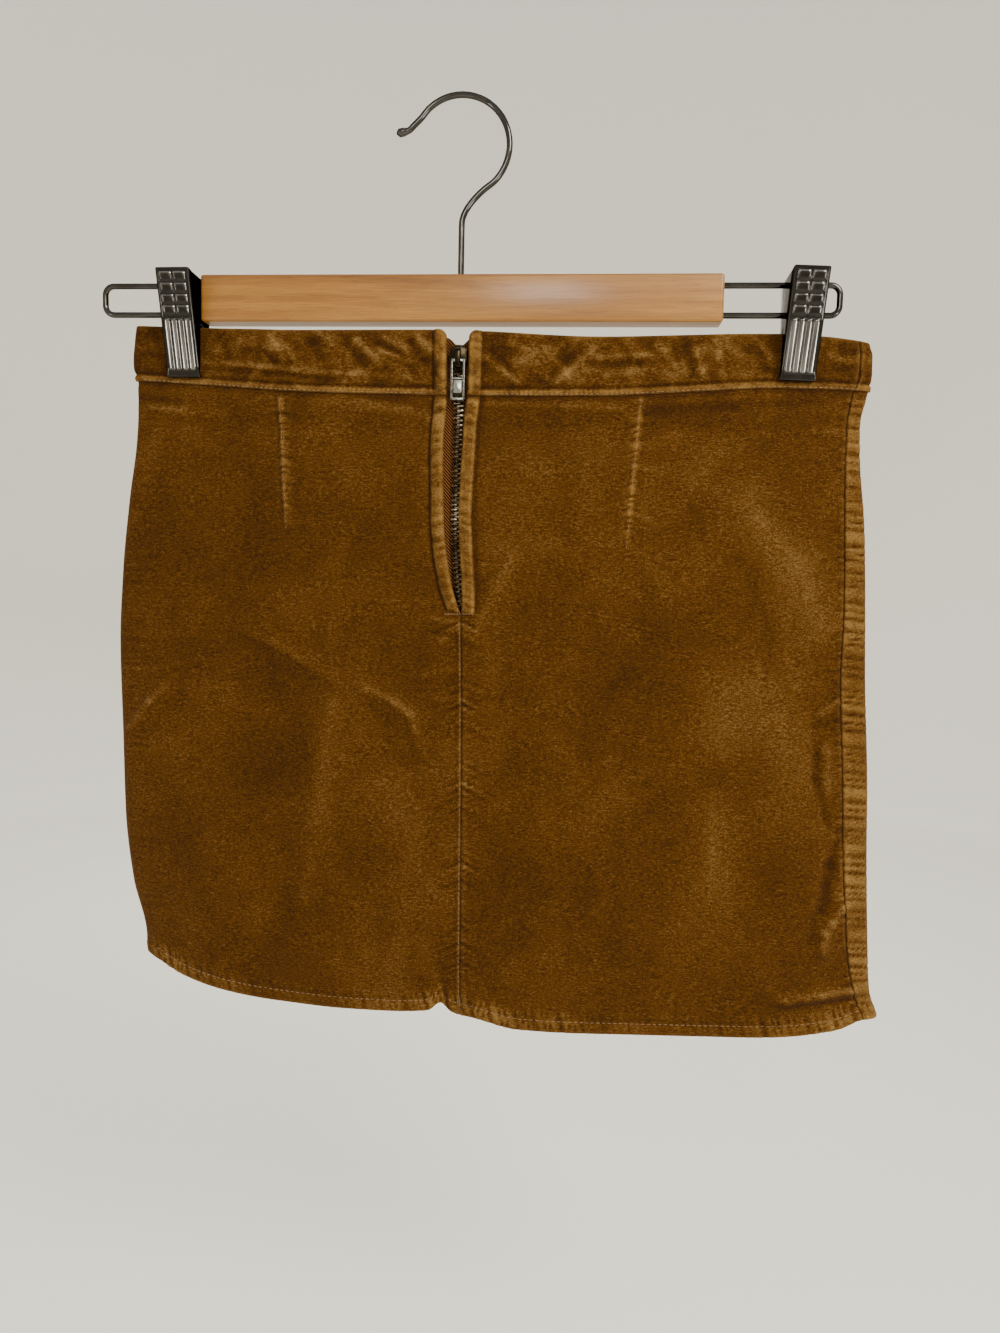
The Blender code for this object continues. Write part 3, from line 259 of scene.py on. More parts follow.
# -- zip
TAPE_WALL = 0.7
TAPE_DEEP, TAPE_SHALLOW = 3.9, 2.1          # behind the cloth's face
TAPE_UNDER_LIP = 4.5
TAPE_Z = (-256.5, -115.5)
TAPE_TOP_DROP, TAPE_TOP_REACH = 4.2, 6.0    # the tape's upper end is lower beside the slider
TAPE_DEEP_BESIDE = 12.0
TAPE_SIDE_GAP, TAPE_SLOPE, TAPE_FLAT = 0.5, 1.2, 1.5
CHAIN_WIDTH, CHAIN_DEPTH, CHAIN_END_Z = 5.2, (2.1, 3.6), -253.5
TOOTH_PITCH = 2.45
TOOTH = (3.3, 1.15)       # length across the chain and height of one tooth
SLIDER_Z, SLIDER_Y, SLIDER_WIDTH, SLIDER_FOOT = (-133.7, -121.7), (-6.4, -1.4), 8.8, 4.6
BRIDGE_Z, BRIDGE_WIDTH, BRIDGE_WALL, BRIDGE_RISE = (-133.3, -123.6), 2.8, 0.9, 2.6
PULL_AXIS_Y, PULL_AXIS_Z = -7.7, -129.4
PULL_WIDTH, PULL_TOP, PULL_LENGTH, PULL_WALL = 6.9, 0.75, 19.6, 1.2

# -- hanger
WIRE = 3.15
HOOK_RADIUS, HOOK_ARC = 24.3, (-46.0, 146.0)
HOOK_NECK = ((1.0, -74.0), (1.0, -62.0), (1.4, -58.2), (3.0, -54.2), (6.4, -49.4), (11.2, -44.6))
HOOK_TIP = ((-24.0, -12.9), (-26.6, -15.2), (-31.0, -16.3))
BAR_X, BAR_Z, BAR_HALF_DEPTH, BAR_EDGE = 132.0, (-109.9, -86.5), 6.5, 1.6
RAIL_WIRE, RAIL_Z, RAIL_ENDS, RAIL_CORNER = 3.0, (-105.4, -90.9), (-185.0, 188.9), 4.6
CLIP_WIDTH, CLIP_BACK_WIDTH, CLIP_PIVOT_Z = 17.4, 14.6, -98.15
CLIP_ROLL = (-0.4, 2.2)   # degrees, of the left and the right clip
LEVER_WALL = 1.2
LEVER_FRONT = ((5.3, -137.9), (19.4, -87.0))     # y and z of the face, at the foot and the head
LEVER_BACK = ((-138.0, -129.0, -111.0, -108.6, -88.4, -87.9, -87.0),
              (5.0, 4.4, 3.9, -3.2, -3.2, 15.0, 18.0))     # z, and y of the flanges' rear edge
JAW_OUT = 3.1
PADS, FLUTE_COUNT = (2, 4), 4                    # columns and rows of raised pads, and flutes
PAD_SPAN, FLUTE_SPAN = (0.035, 0.435), (0.455, 0.935)     # shares of the lever from its head
PAD_RISE, FLUTE_RISE = 0.75, 0.85

# -- looks: colours are linear, and tones are (place, colour) stops
CLOTH_BASE = 0.402
CLOTH_TONES = ((0.18, (0.024, 0.0080, 0.0005)), (0.34, (0.044, 0.0152, 0.0010)),
               (0.48, (0.067, 0.0245, 0.0020)), (0.68, (0.111, 0.0580, 0.0145)),
               (0.90, (0.172, 0.0980, 0.0300)))
# pale colour of scuffed nap and of painted highlights
CLOTH_WEAR_AND_HIGHLIGHT = (0.225, 0.1180, 0.0270)
THREAD_TONES = ((0.3, (0.085, 0.041, 0.009)), (0.7, (0.175, 0.094, 0.027)))
TAPE_TONES = ((0.30, (0.008, 0.0034, 0.0012)), (0.62, (0.034, 0.0125, 0.0034)),
              (0.98, (0.18, 0.064, 0.014)))
WOOD_TONES = ((0.44, (0.150, 0.055, 0.0065)), (0.62, (0.246, 0.103, 0.0145)),
              (0.80, (0.345, 0.165, 0.0300)))
PORE_TONES = ((0.30, (0.55, 0.42, 0.34)), (0.42, (1.0, 1.0, 1.0)))
# Metals: dark and light colour, roughness from and to, scale and place of the wear, edge tint
# and the colour of the painted highlights
METALS = {
    "antique_brass": ((0.007, 0.0040, 0.0020), (0.115, 0.080, 0.042), (0.13, 0.26), 230.0, 0.90,
                      0.7, (0.62, 0.55, 0.42)),
    "dark_brass": ((0.008, 0.006, 0.003), (0.036, 0.027, 0.014), (0.12, 0.24), 300.0, 0.72, 0.5),
    "worn_brass": ((0.20, 0.19, 0.17), (0.36, 0.35, 0.32), (0.16, 0.30), 500.0, 0.72, 1.0),
    "dark_nickel": ((0.036, 0.034, 0.031), (0.080, 0.075, 0.068), (0.05, 0.12), 70.0, 0.72, 0.3),
    "clip_plating": ((0.026, 0.0245, 0.022), (0.038, 0.035, 0.031), (0.08, 0.16), 70.0, 0.72,
                     0.20, (0.36, 0.345, 0.315)),
}
HEM_STITCH = (2.9, 1.05, 0.26, 0.05)             # pitch, half length, radius and depth of a stitch
FLOOR_Z = -0.80
STAGE_PROFILE = ((0.0, FLOOR_Z), (1.7, FLOOR_Z), (2.0, FLOOR_Z + 0.06), (2.22, FLOOR_Z + 0.22),
                 (2.36, FLOOR_Z + 0.46), (2.42, FLOOR_Z + 0.8), (2.42, 1.6))
CAMERA_AT, CAMERA_TURN = (0.06422, -0.50747, -0.23906), (5.0, 4.4, -1.25)     # pitch, yaw, roll
FOCAL_PIXELS, IMAGE_HEIGHT = 980.0, 1333.0
LIGHT_TARGET = (0.02, 0.0, -0.28)
# Lights: name, place, size, power and colour
LIGHTS = (
    ("key", (0.84, -1.00, 0.64), 0.50, 20.5, (1.0, 0.97, 0.92)),
    ("lamp", (0.06, -1.20, 0.30), 0.20, 3.5, (1.0, 0.98, 0.94)),
    ("low_right", (0.95, -0.80, -0.42), 0.20, 4.8, (1.0, 0.98, 0.95)),
    ("low_left", (-0.85, -0.85, -0.42), 0.17, 2.0, (1.0, 0.98, 0.95)),
    ("rear", (-0.4, 1.3, 0.8), 1.2, 22.0, (1.0, 0.98, 0.95)),
)


# -- curves and small helpers
def smooth(xs, ys, x):
    """Smooth curve through the points that never swings past them."""
    rise = np.diff(ys) / np.diff(xs)
    slope = np.concatenate(([rise[0]], np.zeros(len(xs) - 2), [rise[-1]]))
    same = rise[1:] * rise[:-1] > 0
    mean = 2 * rise[1:] * rise[:-1] / np.where(same, rise[1:] + rise[:-1], 1.0)
    slope[1:-1] = np.where(same, mean, 0.0)
    x = np.clip(np.asarray(x, float), xs[0], xs[-1])
    i = np.clip(np.searchsorted(xs, x) - 1, 0, len(xs) - 2)
    span = xs[i + 1] - xs[i]
    u = (x - xs[i]) / span
    a = (1 + 2 * u) * (1 - u) ** 2 * ys[i] + u * (1 - u) ** 2 * span * slope[i]
    b = u * u * (3 - 2 * u) * ys[i + 1] - u * u * (1 - u) * span * slope[i + 1]
    return a + b


def step(x):
    """Smooth step from 0 to 1."""
    x = np.clip(x, 0.0, 1.0)
    return x * x * (3 - 2 * x)


def bell(x):
    """Smooth bump of height 1."""
    return np.exp(-x * x)


def ripple(t, pitch, seed):
    """Uneven ripple along a seam, from about -1 to 1."""
    a = 2 * math.pi * t / pitch
    main = 0.55 * np.sin(a + 1.9 * np.sin(0.23 * a + seed))
    side = 0.35 * np.sin(1.73 * a + 2.3 * np.sin(0.31 * a + 2 * seed) + seed)
    return (main + side) * (0.62 + 0.38 * np.sin(0.11 * a + 3 * seed))


def pleats(t, pitch, seed):
    """Wide bumps with crisp narrow grooves between them, unevenly spaced, from -1 to 1."""
    u = t / pitch
    u = u + 0.25 * np.sin(2.1 * u + seed) + 0.20 * np.sin(0.9 * u + 2 * seed)
    wave = 2 * np.abs(np.sin(math.pi * u)) ** 0.55 - 1
    return wave * (0.72 + 0.28 * np.sin(0.7 * u + 3 * seed))


def rounded(distance, radius):
    """How far a face drops near a rounded edge."""
    d = np.clip(distance, 0.0, radius)
    return radius - np.sqrt(radius ** 2 - (radius - d) ** 2)


def line_bumps(rows, x, z):
    """Height at x, z of all ridges and troughs of a table."""
    total = np.zeros_like(x)
    for x0, z0, x1, z1, half_width, height in rows:
        ax, az = x1 - x0, z1 - z0
        u = np.clip(((x - x0) * ax + (z - z0) * az) / (ax * ax + az * az), 0.0, 1.0)
        total += height * bell(np.hypot(x - x0 - u * ax, z - z0 - u * az) / half_width)
    return total


def nap_and_shade_tone(rows, x, z):
    """Lighter and darker zones of the nap, and painted shade."""
    total = np.zeros_like(x)
    for x0, z0, reach_x, reach_z, amount in rows:
        total += amount * bell(np.hypot((x - x0) / reach_x, (z - z0) / reach_z))
    return total


def painted_slope_shade(height, x, z):
    """Painted light and shade: slopes that face up and right, towards the key light, are painted
    lighter, and the others darker.
    """
    step_x, step_z = np.gradient(x, axis=1), np.gradient(z, axis=0)
    rise_x = np.gradient(height, axis=1) / np.where(np.abs(step_x) < 0.2, np.inf, step_x)
    rise_z = np.gradient(height, axis=0) / np.where(np.abs(step_z) < 0.05, np.inf, step_z)
    return -PAINTED_SLOPE_SHADE * np.clip(0.6 * rise_x + 0.8 * rise_z, -0.45, 0.45)


# -- the skirt's surface
class Ring:
    """One section of the hollow tube, as in the part's solids."""

    SAMPLES = 721

    def __init__(self, share, sections, pinch):
        self.left, self.right, deep, self.radius, self.seam_in = (
            float(sections.at(name, share)) for name in sections.names[1:])
        turn = np.linspace(0.0, 2 * math.pi, self.SAMPLES)
        wide, deep = (self.right - self.left) / 2 - self.radius, deep - self.radius
        out_x, out_y = np.cos(turn) / wide, -np.sin(turn) / deep
        size = np.hypot(out_x, out_y)
        self.out_x, self.out_y = out_x / size, out_y / size
        self.x = (self.right + self.left) / 2 + wide * np.cos(turn) + self.radius * self.out_x
        y = -deep * np.sin(turn) + self.radius * self.out_y
        self.y = y * pinched(self.x, y, pinch)
        length = np.hypot(np.diff(self.x), np.diff(self.y))
        self.way = np.concatenate(([0.0], np.cumsum(length)))

    def way_at(self, x, back=True):
        """Distance round the ring at which the back, or the front, has this x."""
        half = self.SAMPLES // 2
        if back:
            return float(np.interp(-x, -self.x[:half + 1], self.way[:half + 1]))
        return float(np.interp(x, self.x[half:], self.way[half:]))

    def point(self, way):
        """x, y and the outward direction at distances round the ring."""
        return [np.interp(way, self.way, v) for v in (self.x, self.y, self.out_x, self.out_y)]


def pinched(x, y, amount):
    """Factor that thins the tube at the two clips, 1 where there is no clip."""
    factor = np.ones_like(x)
    for centre in CLIP_X:
        near = 1 - step((np.abs(x - centre) - CLIP_FLAT) / CLIP_FADE)
        thin = np.minimum(1.0, CLIP_PINCH / np.maximum(np.abs(y), 0.5))
        factor = np.minimum(factor, 1 - amount * near * (1 - thin))
    return factor


def opening_at(opening, share):
    """x of the left and of the right edge of the opening."""
    centre, half = float(opening.at("middle", share)), float(opening.at("gap", share)) / 2
    return centre - half, centre + half


def lip_bump(distance):
    """Height of the rolled lip at a distance from its inner edge."""
    rise, middle, half = LIP_ROLL
    return rise * np.sqrt(np.clip(1 - ((distance - middle) / half) ** 2, 0.0, 1.0))


def front_sag(x):
    """How far the front hangs down between the clips at its top."""
    share = (x - sum(CLIP_X) / 2) / (CLIP_X[1] - CLIP_X[0]) * 2
    return FRONT_SAG * np.clip(1 - share ** 2, 0.0, 1.0)


def hem_line(x, back):
    """Height of the hem, on the back where `back` is true."""
    return np.where(back, HEM_BACK.at("z", x), HEM_FRONT.at("z", x))


def dart_relief(x, z):
    """Sewn lines of the darts, with their puckers, and their scuffing with painted highlights on
    the pucker crests.
    """
    total, wear_and_highlight = np.zeros_like(x), np.zeros_like(x)
    height, reach, pitch = DART_PUCKERS
    for k, (x0, z0, x1, z1) in enumerate(DARTS):
        u = (z - z0) / (z1 - z0)
        inside = step(u / 0.02 + 0.5) * (1 - step((u - 0.82) / 0.2))
        across = x - (x0 + (x1 - x0) * u)
        side = 1.0 if k else -1.0
        ladder = pleats(z + 0.35 * np.abs(across), pitch, 1.3 + k)
        lean = np.where(across * side < 0, 1.25, 0.55)
        total += DART_RIDGE * bell(across / DART_RIDGE_HALF) * inside
        total -= 0.32 * bell((across - side * 1.9) / 1.1) * inside
        total += height * bell(across / reach) * ladder * inside * lean
        # painted highlights on the crests of the dart's puckers
        wear_and_highlight += 0.20 * bell(across / 3.4) * inside * lean * np.clip(ladder, -0.3, 1.0)
        ladder = np.clip(0.55 + 0.8 * ladder, 0.0, 1.3)
        wear_and_highlight += (0.30 - 0.08 * k) * bell(across / 0.8) * inside * ladder
    return total, wear_and_highlight


def skirt_relief(ring, x, z, share, back, opening):
    """Fine creases, seam ridges and puckers below the waist seam, their painted light and shade,
    and the scuffing and painted highlights there.
    """
    darts, wear_and_highlight = dart_relief(x, z)
    creases = line_bumps(BACK_CREASES, x, z) + darts
    fine = np.where(back, creases, line_bumps(FRONT_CREASES, x, z))
    # painted shade: creases are painted lighter on their ridges and darker in their troughs
    tone = 0.20 * np.clip(fine, -0.9, 0.9)
    wear_and_highlight = np.where(back, wear_and_highlight, 0.0)
    start, below_zip = step(share / 0.012), step((share - ZIP_END) / 0.012)
    height, reach, pitch = SEAM_PUCKERS
    for k, edge in enumerate(opening):
        far = np.abs(x - edge)
        puckers = height * bell(far / reach) * ripple(z + 0.5 * far, pitch, 0.4 + 2.1 * k)
        fine += np.where(back, below_zip * (puckers + 0.12 * bell((far - 1.3) / 1.0)), 0.0)
        # painted shade and highlight on the puckers beside the centre seam
        tone += np.where(back, below_zip * 0.42 * puckers, 0.0)
        outside = back & ((x - edge) * (1 if k else -1) > 0)
        wear_and_highlight += np.where(outside, below_zip * (0.04 if k else 0.11) * bell((far - 0.6) / 0.7), 0.0)
    height, reach, pitch = SIDE_PUCKERS
    seam = ring.right - ring.seam_in
    out = x > seam
    far = np.abs(x - seam)
    ribs = np.where(out, pleats(z + 0.08 * far, pitch, 2.6), ripple(z + 0.3 * far, pitch, 5.1))
    right = height * bell(far / np.where(out, 3.0 * reach, 0.55 * reach)) * ribs
    beside = right + 0.25 * bell((far - 1.5) / 1.1)
    fine += start * np.where(back, beside, np.where(out, right, 0.0))
    # painted shade on the side seam's puckers, and a painted shadow in the seam line
    tone += start * np.where(back | out, 0.42 * right, 0.0)
    tone -= start * np.where(back, 0.25 * bell(far / 0.6), 0.0)
    wear_and_highlight += start * np.where(back, np.where(out, 0.10, 0.05) * bell((far - 1.0) / 0.8), 0.0)
    # painted highlights on the crests of the side strip's ribs
    wear_and_highlight += start * np.where(out, 0.04 + 0.13 * np.clip(ribs, -0.3, 1.0), 0.0)
    far = np.abs(x - ring.left - LEFT_SEAM_IN)
    left = 0.7 * height * bell(far / (1.4 * reach)) * ripple(z, pitch, 3.7)
    fine += start * np.where(back, 0.5, 1.0) * left
    fine += start * np.where(back, 0.0, 0.35 * bell((far - 1.5) / 1.1))
    # painted shade on the left seam's puckers
    tone += start * np.where(back, 0.12, 0.30) * left
    wear_and_highlight += start * np.where(back, 0.0, 0.26 * bell((far - 0.7) / 0.8))
    return fine, tone, wear_and_highlight


def hem_relief(x, above, back):
    """Puckers and stitch furrow of the turned hem, at a height above its edge, and its scuffing
    with painted highlights on the pucker crests.
    """
    height, pitch = HEM_PUCKERS
    inside = 1 - step((above - HEM_BAND - 0.5) / 5.0)
    seed = np.where(back, 0.9, 4.4)
    uneven = 0.6 + 0.4 * np.sin(x / 31.0 + seed)
    puckers = height * inside * uneven * pleats(x + 0.3 * above, pitch, seed)
    wear_and_highlight = 0.20 * bell(above / 1.0) + 0.06 * bell((above - HEM_BAND + 0.1) / 0.5)
    # painted highlights on the crests of the puckers
    wear_and_highlight += 0.18 * inside * np.clip(puckers / height, 0.0, 1.0)
    return puckers, puckers - 0.45 * bell((above - HEM_BAND + 1.3) / 0.75), wear_and_highlight


def lip_folds(lip, edge, z, seed):
    """Share of a lip's height, and the folds across it as a pattern and in millimetres."""
    height, pitch = LIP_PUCKERS
    body, folds = lip / LIP_ROLL[0], pleats(z + 0.25 * edge, pitch, seed)
    return body, folds, height * body * folds


def skirt_rows(ring, way, share, opening):
    """One row of the skirt: outer points, outward directions, wall, relief, looks with painted
    light and shade, and the height that the painted slope shade reads.
    """
    x, y, out_x, out_y = ring.point(way)
    back = y < 0
    top, low = WAIST.at("seam", x), hem_line(x, back)
    z = top - SEAM_GAP / 2 + share * (low - top + SEAM_GAP / 2)
    flat = step(np.abs(y) / ring.radius - 0.6)
    fade = step((share - 0.01) / 0.06)
    big = np.where(back, line_bumps(BACK_FOLDS, x, z), line_bumps(FRONT_FOLDS, x, z)) * flat * fade
    above, below = z - low, top - z
    thick = HEM_RISE * (1 - step((above - HEM_BAND + 0.3) / 0.7))
    fine, tone, wear_and_highlight = skirt_relief(ring, x, z, share, back, opening)
    fine *= 0.35 + 0.65 * flat
    hem_ribs, hem, hem_wear_and_highlight = hem_relief(x, above, back)
    tone += np.where(back, nap_and_shade_tone(BACK_NAP_AND_SHADE, x, z), nap_and_shade_tone(FRONT_NAP, x, z))
    # painted shade on the hem's puckers and just above the hem band, and painted sheen on the side
    # folds
    tone += 0.70 * hem_ribs - 0.08 * bell((above - HEM_BAND - 0.8) / 1.0) + 0.05 * (1 - flat)
    # painted shadow just under the waist seam
    tone -= 0.12 * bell((below - 1.4) / 1.6)
    fine += hem - 0.30 * bell((below - 1.6) / 1.5)
    wear_and_highlight += hem_wear_and_highlight
    z = z - np.where(back, 0.0, front_sag(x)) * (1 - share) ** 2
    lip = np.zeros_like(x)
    if share < ZIP_END:
        edge = np.minimum(np.abs(x - opening[0]), np.abs(x - opening[1]))
        close = 1 - step((share - ZIP_END + 0.006) / 0.006)
        notch = 1 - 0.9 * bell(below / 1.8) + 0.25 * bell((below - 5.0) / 2.4)
        lip = np.where(back, lip_bump(edge) * close * notch, 0.0)
        body, folds, puckers = lip_folds(lip, edge, z, np.where(x < 0, 0.2, 1.9))
        groove = np.where(back, close * bell((edge - LIP_WIDTH - 0.2) / 1.0), 0.0)
        fine += puckers - 0.55 * groove
        # painted shade on the lip's folds, in the groove beside it and in the notch at the waist
        # seam
        tone += 0.85 * puckers + 0.04 * body - 0.22 * groove - 0.16 * body * bell(below / 2.2)
        less = np.where(x < opening[0] + 1.0, 0.72, 0.86)
        # scuffing along the lip's edges, with painted highlights there and on the fold crests
        rub_and_highlight = 0.12 + 0.42 * bell((edge - 0.9) / 0.9) + 0.36 * bell((edge - 5.9) / 0.6)
        wear_and_highlight += less * body * rub_and_highlight * (1 + 0.5 * folds)
    thick = thick + lip
    move = big + thick + fine
    left_of_zip = 0.25 * bell((x - opening[0]) / 14.0) * np.where(back, 1.0, 0.0)
    looks = (tone, wear_and_highlight, left_of_zip + 0.5 * bell(below / 9.0))
    height = FOLD_TONE * big + lip + fine
    return (x + out_x * move, y + out_y * move, z, out_x, out_y, PANEL_WALL + thick, fine, looks,
            height)


def band_rows(ring, way, share, opening):
    """The same for the waistband."""
    x, y, out_x, out_y = ring.point(way)
    back = y < 0
    top, low = WAIST.at("top", x), WAIST.at("seam", x) + SEAM_GAP / 2
    z = top + share * (low - top)
    above, below = z - low, top - z
    ridge = 1 - step((above - SEAM_RIDGE + 0.3) / 0.6)
    flat = step(np.abs(y) / ring.radius - 0.3)
    creases = np.where(back, line_bumps(BAND_CREASES_BACK, x, z),
                       line_bumps(BAND_CREASES_FRONT, x, z))
    fine = creases * flat * (1 - 0.8 * ridge)
    # painted shade of the creases, painted sheen on the side folds, and a little lighter to the
    # right of the zip
    tone = 0.36 * np.clip(fine, -0.8, 0.8) + 0.03 * (1 - flat) + 0.04 * step((x - 10.0) / 30.0)
    height, pitch = RIDGE_PUCKERS
    seam_ripple = ripple(x - 0.4 * above, pitch, np.where(back, 1.1, 2.9))
    puckers = height * seam_ripple * (0.45 + 0.55 * bell(above / 9.0))
    fine += puckers
    # painted shade on the seam's puckers
    tone += 0.30 * puckers
    uneven = 0.5 + 0.5 * ripple(x, 17.0, np.where(back, 0.3, 2.2))
    # scuffing with painted highlights along the seam ridge and the top edge
    wear_and_highlight = ridge * (0.12 + 0.22 * uneven) + (0.14 + 0.30 * uneven) * bell(below / 0.8)
    bead, pitch = BEADS
    for first, last in BEAD_STRETCHES:
        inside = step((x - first) / 4.0) * (1 - step((x - last + 4.0) / 4.0))
        wave = np.sin(2 * math.pi * x / pitch) * inside * ridge
        fine += bead * wave
        # painted highlights on the beads' crests, painted shade between them
        wear_and_highlight += 0.22 * wave + 0.12 * inside * ridge
    fine -= 0.50 * bell((above - SEAM_RIDGE - 0.7) / 0.9)
    # painted shadow under the seam ridge
    tone -= 0.16 * bell((above - SEAM_RIDGE - 0.9) / 1.0)
    beside = bell((np.abs(x - (ring.right - ring.seam_in)) - 1.2) / 0.9)
    fine += np.where(back, 0.30 * beside, 0.0)
    wear_and_highlight += np.where(back, 0.20 * beside, 0.0)
    edge = np.minimum(np.abs(x - opening[0]), np.abs(x - opening[1]))
    notch = 1 - 0.9 * bell(above / 1.6) + 0.2 * bell((above - 4.5) / 2.0)
    lip = np.where(back, lip_bump(edge) * notch, 0.0)
    body, folds, swell = lip_folds(lip, edge, z, np.where(x < 0, 4.2, 2.4))
    groove = np.where(back, bell((edge - LIP_WIDTH) / 0.9), 0.0)
    fine += swell - 0.55 * groove
    # painted shade on the lip's folds, groove and notch
    tone += 0.85 * swell + 0.04 * body - 0.20 * groove - 0.10 * body * bell(above / 1.8)
    # scuffing with painted highlights along the lip's edges and fold crests
    rub_and_highlight = body * (0.20 + 0.32 * bell((edge - 1.5) / 1.4)) * (1 + 0.45 * folds)
    wear_and_highlight = wear_and_highlight * (1 - 0.6 * body * ridge) + rub_and_highlight
    thick = np.maximum(SEAM_RIDGE_RISE * ridge, lip)
    z = z - np.where(back, rounded(edge, LIP_CORNER) * (1 - share) ** 3, front_sag(x))
    move = thick + fine
    looks = (tone, wear_and_highlight, 1.0 - 0.5 * ridge)
    return (x + out_x * move, y + out_y * move, z, out_x, out_y, BAND_WALL + thick, fine, looks,
            move)


def stations(side, ring, opening):
    """Places round the ring where a back piece or the front starts, turns fine and ends."""
    seam_left = ring.way_at(ring.left + LEFT_SEAM_IN, back=False)
    seam_right = ring.way_at(ring.right - ring.seam_in)
    if side == "right":
        lip = ring.way_at(opening[1] + LIP_WIDTH), ring.way_at(opening[1])
        return seam_right + SEAM_GAP / 2, *lip
    if side == "left":
        lip = ring.way_at(opening[0]), ring.way_at(opening[0] - LIP_WIDTH)
        return *lip, seam_left - SEAM_GAP / 2
    whole = ring.way[-1]
    return seam_left + SEAM_GAP / 2, whole - 10.0, whole + seam_right - SEAM_GAP / 2


def along(places, counts):
    """Distances round the ring, finer at the first and the last edge."""
    way = [places[0] + s for s in EDGE_STEPS]
    for i, count in enumerate(counts):
        start = places[i] + (0.0 if i else EDGE_STEPS[-1])
        end = places[i + 1] - (EDGE_STEPS[-1] if i == len(counts) - 1 else 0.0)
        way += [start + (end - start) * k / count for k in range(1, count + 1)]
    return np.array(way + [places[-1] - s for s in reversed(EDGE_STEPS[:-1])])


def fine_rows(length, spacing):
    """Shares along a piece's height, finer near both ends."""
    edge = EDGE_STEPS[-1]
    near = [s / length for s in EDGE_STEPS[:-1]]
    count = round((length - 2 * edge) / spacing)
    middle = [(edge + (length - 2 * edge) * k / count) / length for k in range(count + 1)]
    return near + middle + [1 - s for s in reversed(near)]


# -- meshes
def mesh_object(name, verts, faces, mat, smooth_angle=None):
    """Object from points in metres and faces."""
    mesh = bpy.data.meshes.new(name)
    mesh.from_pydata(np.asarray(verts).tolist(), [], [tuple(f) for f in faces])
    mesh.validate()
    mesh.shade_smooth()
    if smooth_angle:
        mesh.set_sharp_from_angle(angle=math.radians(smooth_angle))
    mesh.materials.append(mat)
    return linked(name, mesh)


def linked(name, data):
    """Object with this data, in the scene."""
    obj = bpy.data.objects.new(name, data)
    bpy.context.scene.collection.objects.link(obj)
    return obj


def dress(obj, node=None, body=BODY):
    """Attach a piece to its body, and hide the solid it stands for where one is given."""
    if node:
        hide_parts(node)
    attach(obj, body)
    return obj


def grid_faces(rows, columns, start, flip):
    """Quads of a grid whose points run row by row from an index."""
    j, i = np.meshgrid(np.arange(rows - 1), np.arange(columns - 1), indexing="ij")
    a = (start + j * columns + i).ravel()
    quads = np.stack((a, a + 1, a + columns + 1, a + columns), axis=1)
    return quads[:, ::-1] if flip else quads


def closed_shell(name, outer, inner, mat, flip=False):
    """Closed wall between two grids of points (rows, columns, 3), in millimetres."""
    rows, columns = outer.shape[:2]
    count = rows * columns
    verts = np.concatenate((outer.reshape(-1, 3), inner.reshape(-1, 3))) * MM
    index = np.arange(count).reshape(rows, columns)
    rim = np.concatenate((index[0, :], index[1:, -1], index[-1, -2::-1], index[-2:0:-1, 0]))
    after = np.roll(rim, -1)
    walls = np.stack((rim, rim + count, after + count, after), axis=1)
    faces = np.concatenate((grid_faces(rows, columns, 0, flip),
                            grid_faces(rows, columns, count, not flip),
                            walls[:, ::-1] if flip else walls))
    return mesh_object(name, verts, faces.tolist(), mat)


def add_value(obj, name, values):
    """Number for each outer point, which the material reads, and 0 for the inner ones."""
    values = np.ravel(values)
    rest = np.zeros(len(obj.data.vertices) - values.size)
    layer = obj.data.attributes.new(name, "FLOAT", "POINT")
    layer.data.foreach_set("value", np.concatenate((values, rest)).astype(np.float32))


def cloth_shell(name, mat, side, counts, form):
    """A thin closed shell of cloth on its solid's form, with rounded edges."""
    surface, sections, opening_rows, length, shares, free_edge = form
    band = surface is band_rows
    radii = [LIP_EDGE if lip else CLOTH_EDGE for lip in (side == "left", side == "right")]
    outer, inner, looks, heights = [], [], [], []
    for share in shares:
        ring = Ring(share, sections, 1.0 if band else 1 - step(share / CLIP_FADE_SHARE))
        opening = opening_at(opening_rows, share)
        places = stations(side, ring, opening)
        way = along(places, counts)
        x, y, z, out_x, out_y, wall, fine, look, height = surface(
            ring, way % ring.way[-1], share, opening)
        free, sewn = (share, 1 - share) if band else (1 - share, share)
        drop = np.zeros_like(x)
        for distance, radius in ((way - places[0], radii[0]), (places[-1] - way, radii[1]),
                                 (free * length, free_edge), (sewn * length, CLOTH_EDGE)):
            drop = np.maximum(drop, rounded(distance, radius))
        x, y = x - out_x * drop, y - out_y * drop
        back_off = np.maximum(wall + fine - 2 * drop, 0.25)
        outer.append(np.stack((x, y, z), axis=1))
        inner.append(np.stack((x - out_x * back_off, y - out_y * back_off, z), axis=1))
        looks.append(np.stack(look))
        heights.append(height)
    outer, inner, looks = np.array(outer), np.array(inner), np.array(looks)
    # painted light and shade on the slopes of folds, creases, lips and puckers
    looks[:, 0] += painted_slope_shade(np.array(heights), outer[:, :, 0], outer[:, :, 2])
    obj = closed_shell(name, outer, inner, mat)
    # tone holds painted light and shade besides the nap's zones
    for k, name in enumerate(("tone", "wear_and_highlight", "crush")):
        add_value(obj, name, looks[:, k])
    return obj


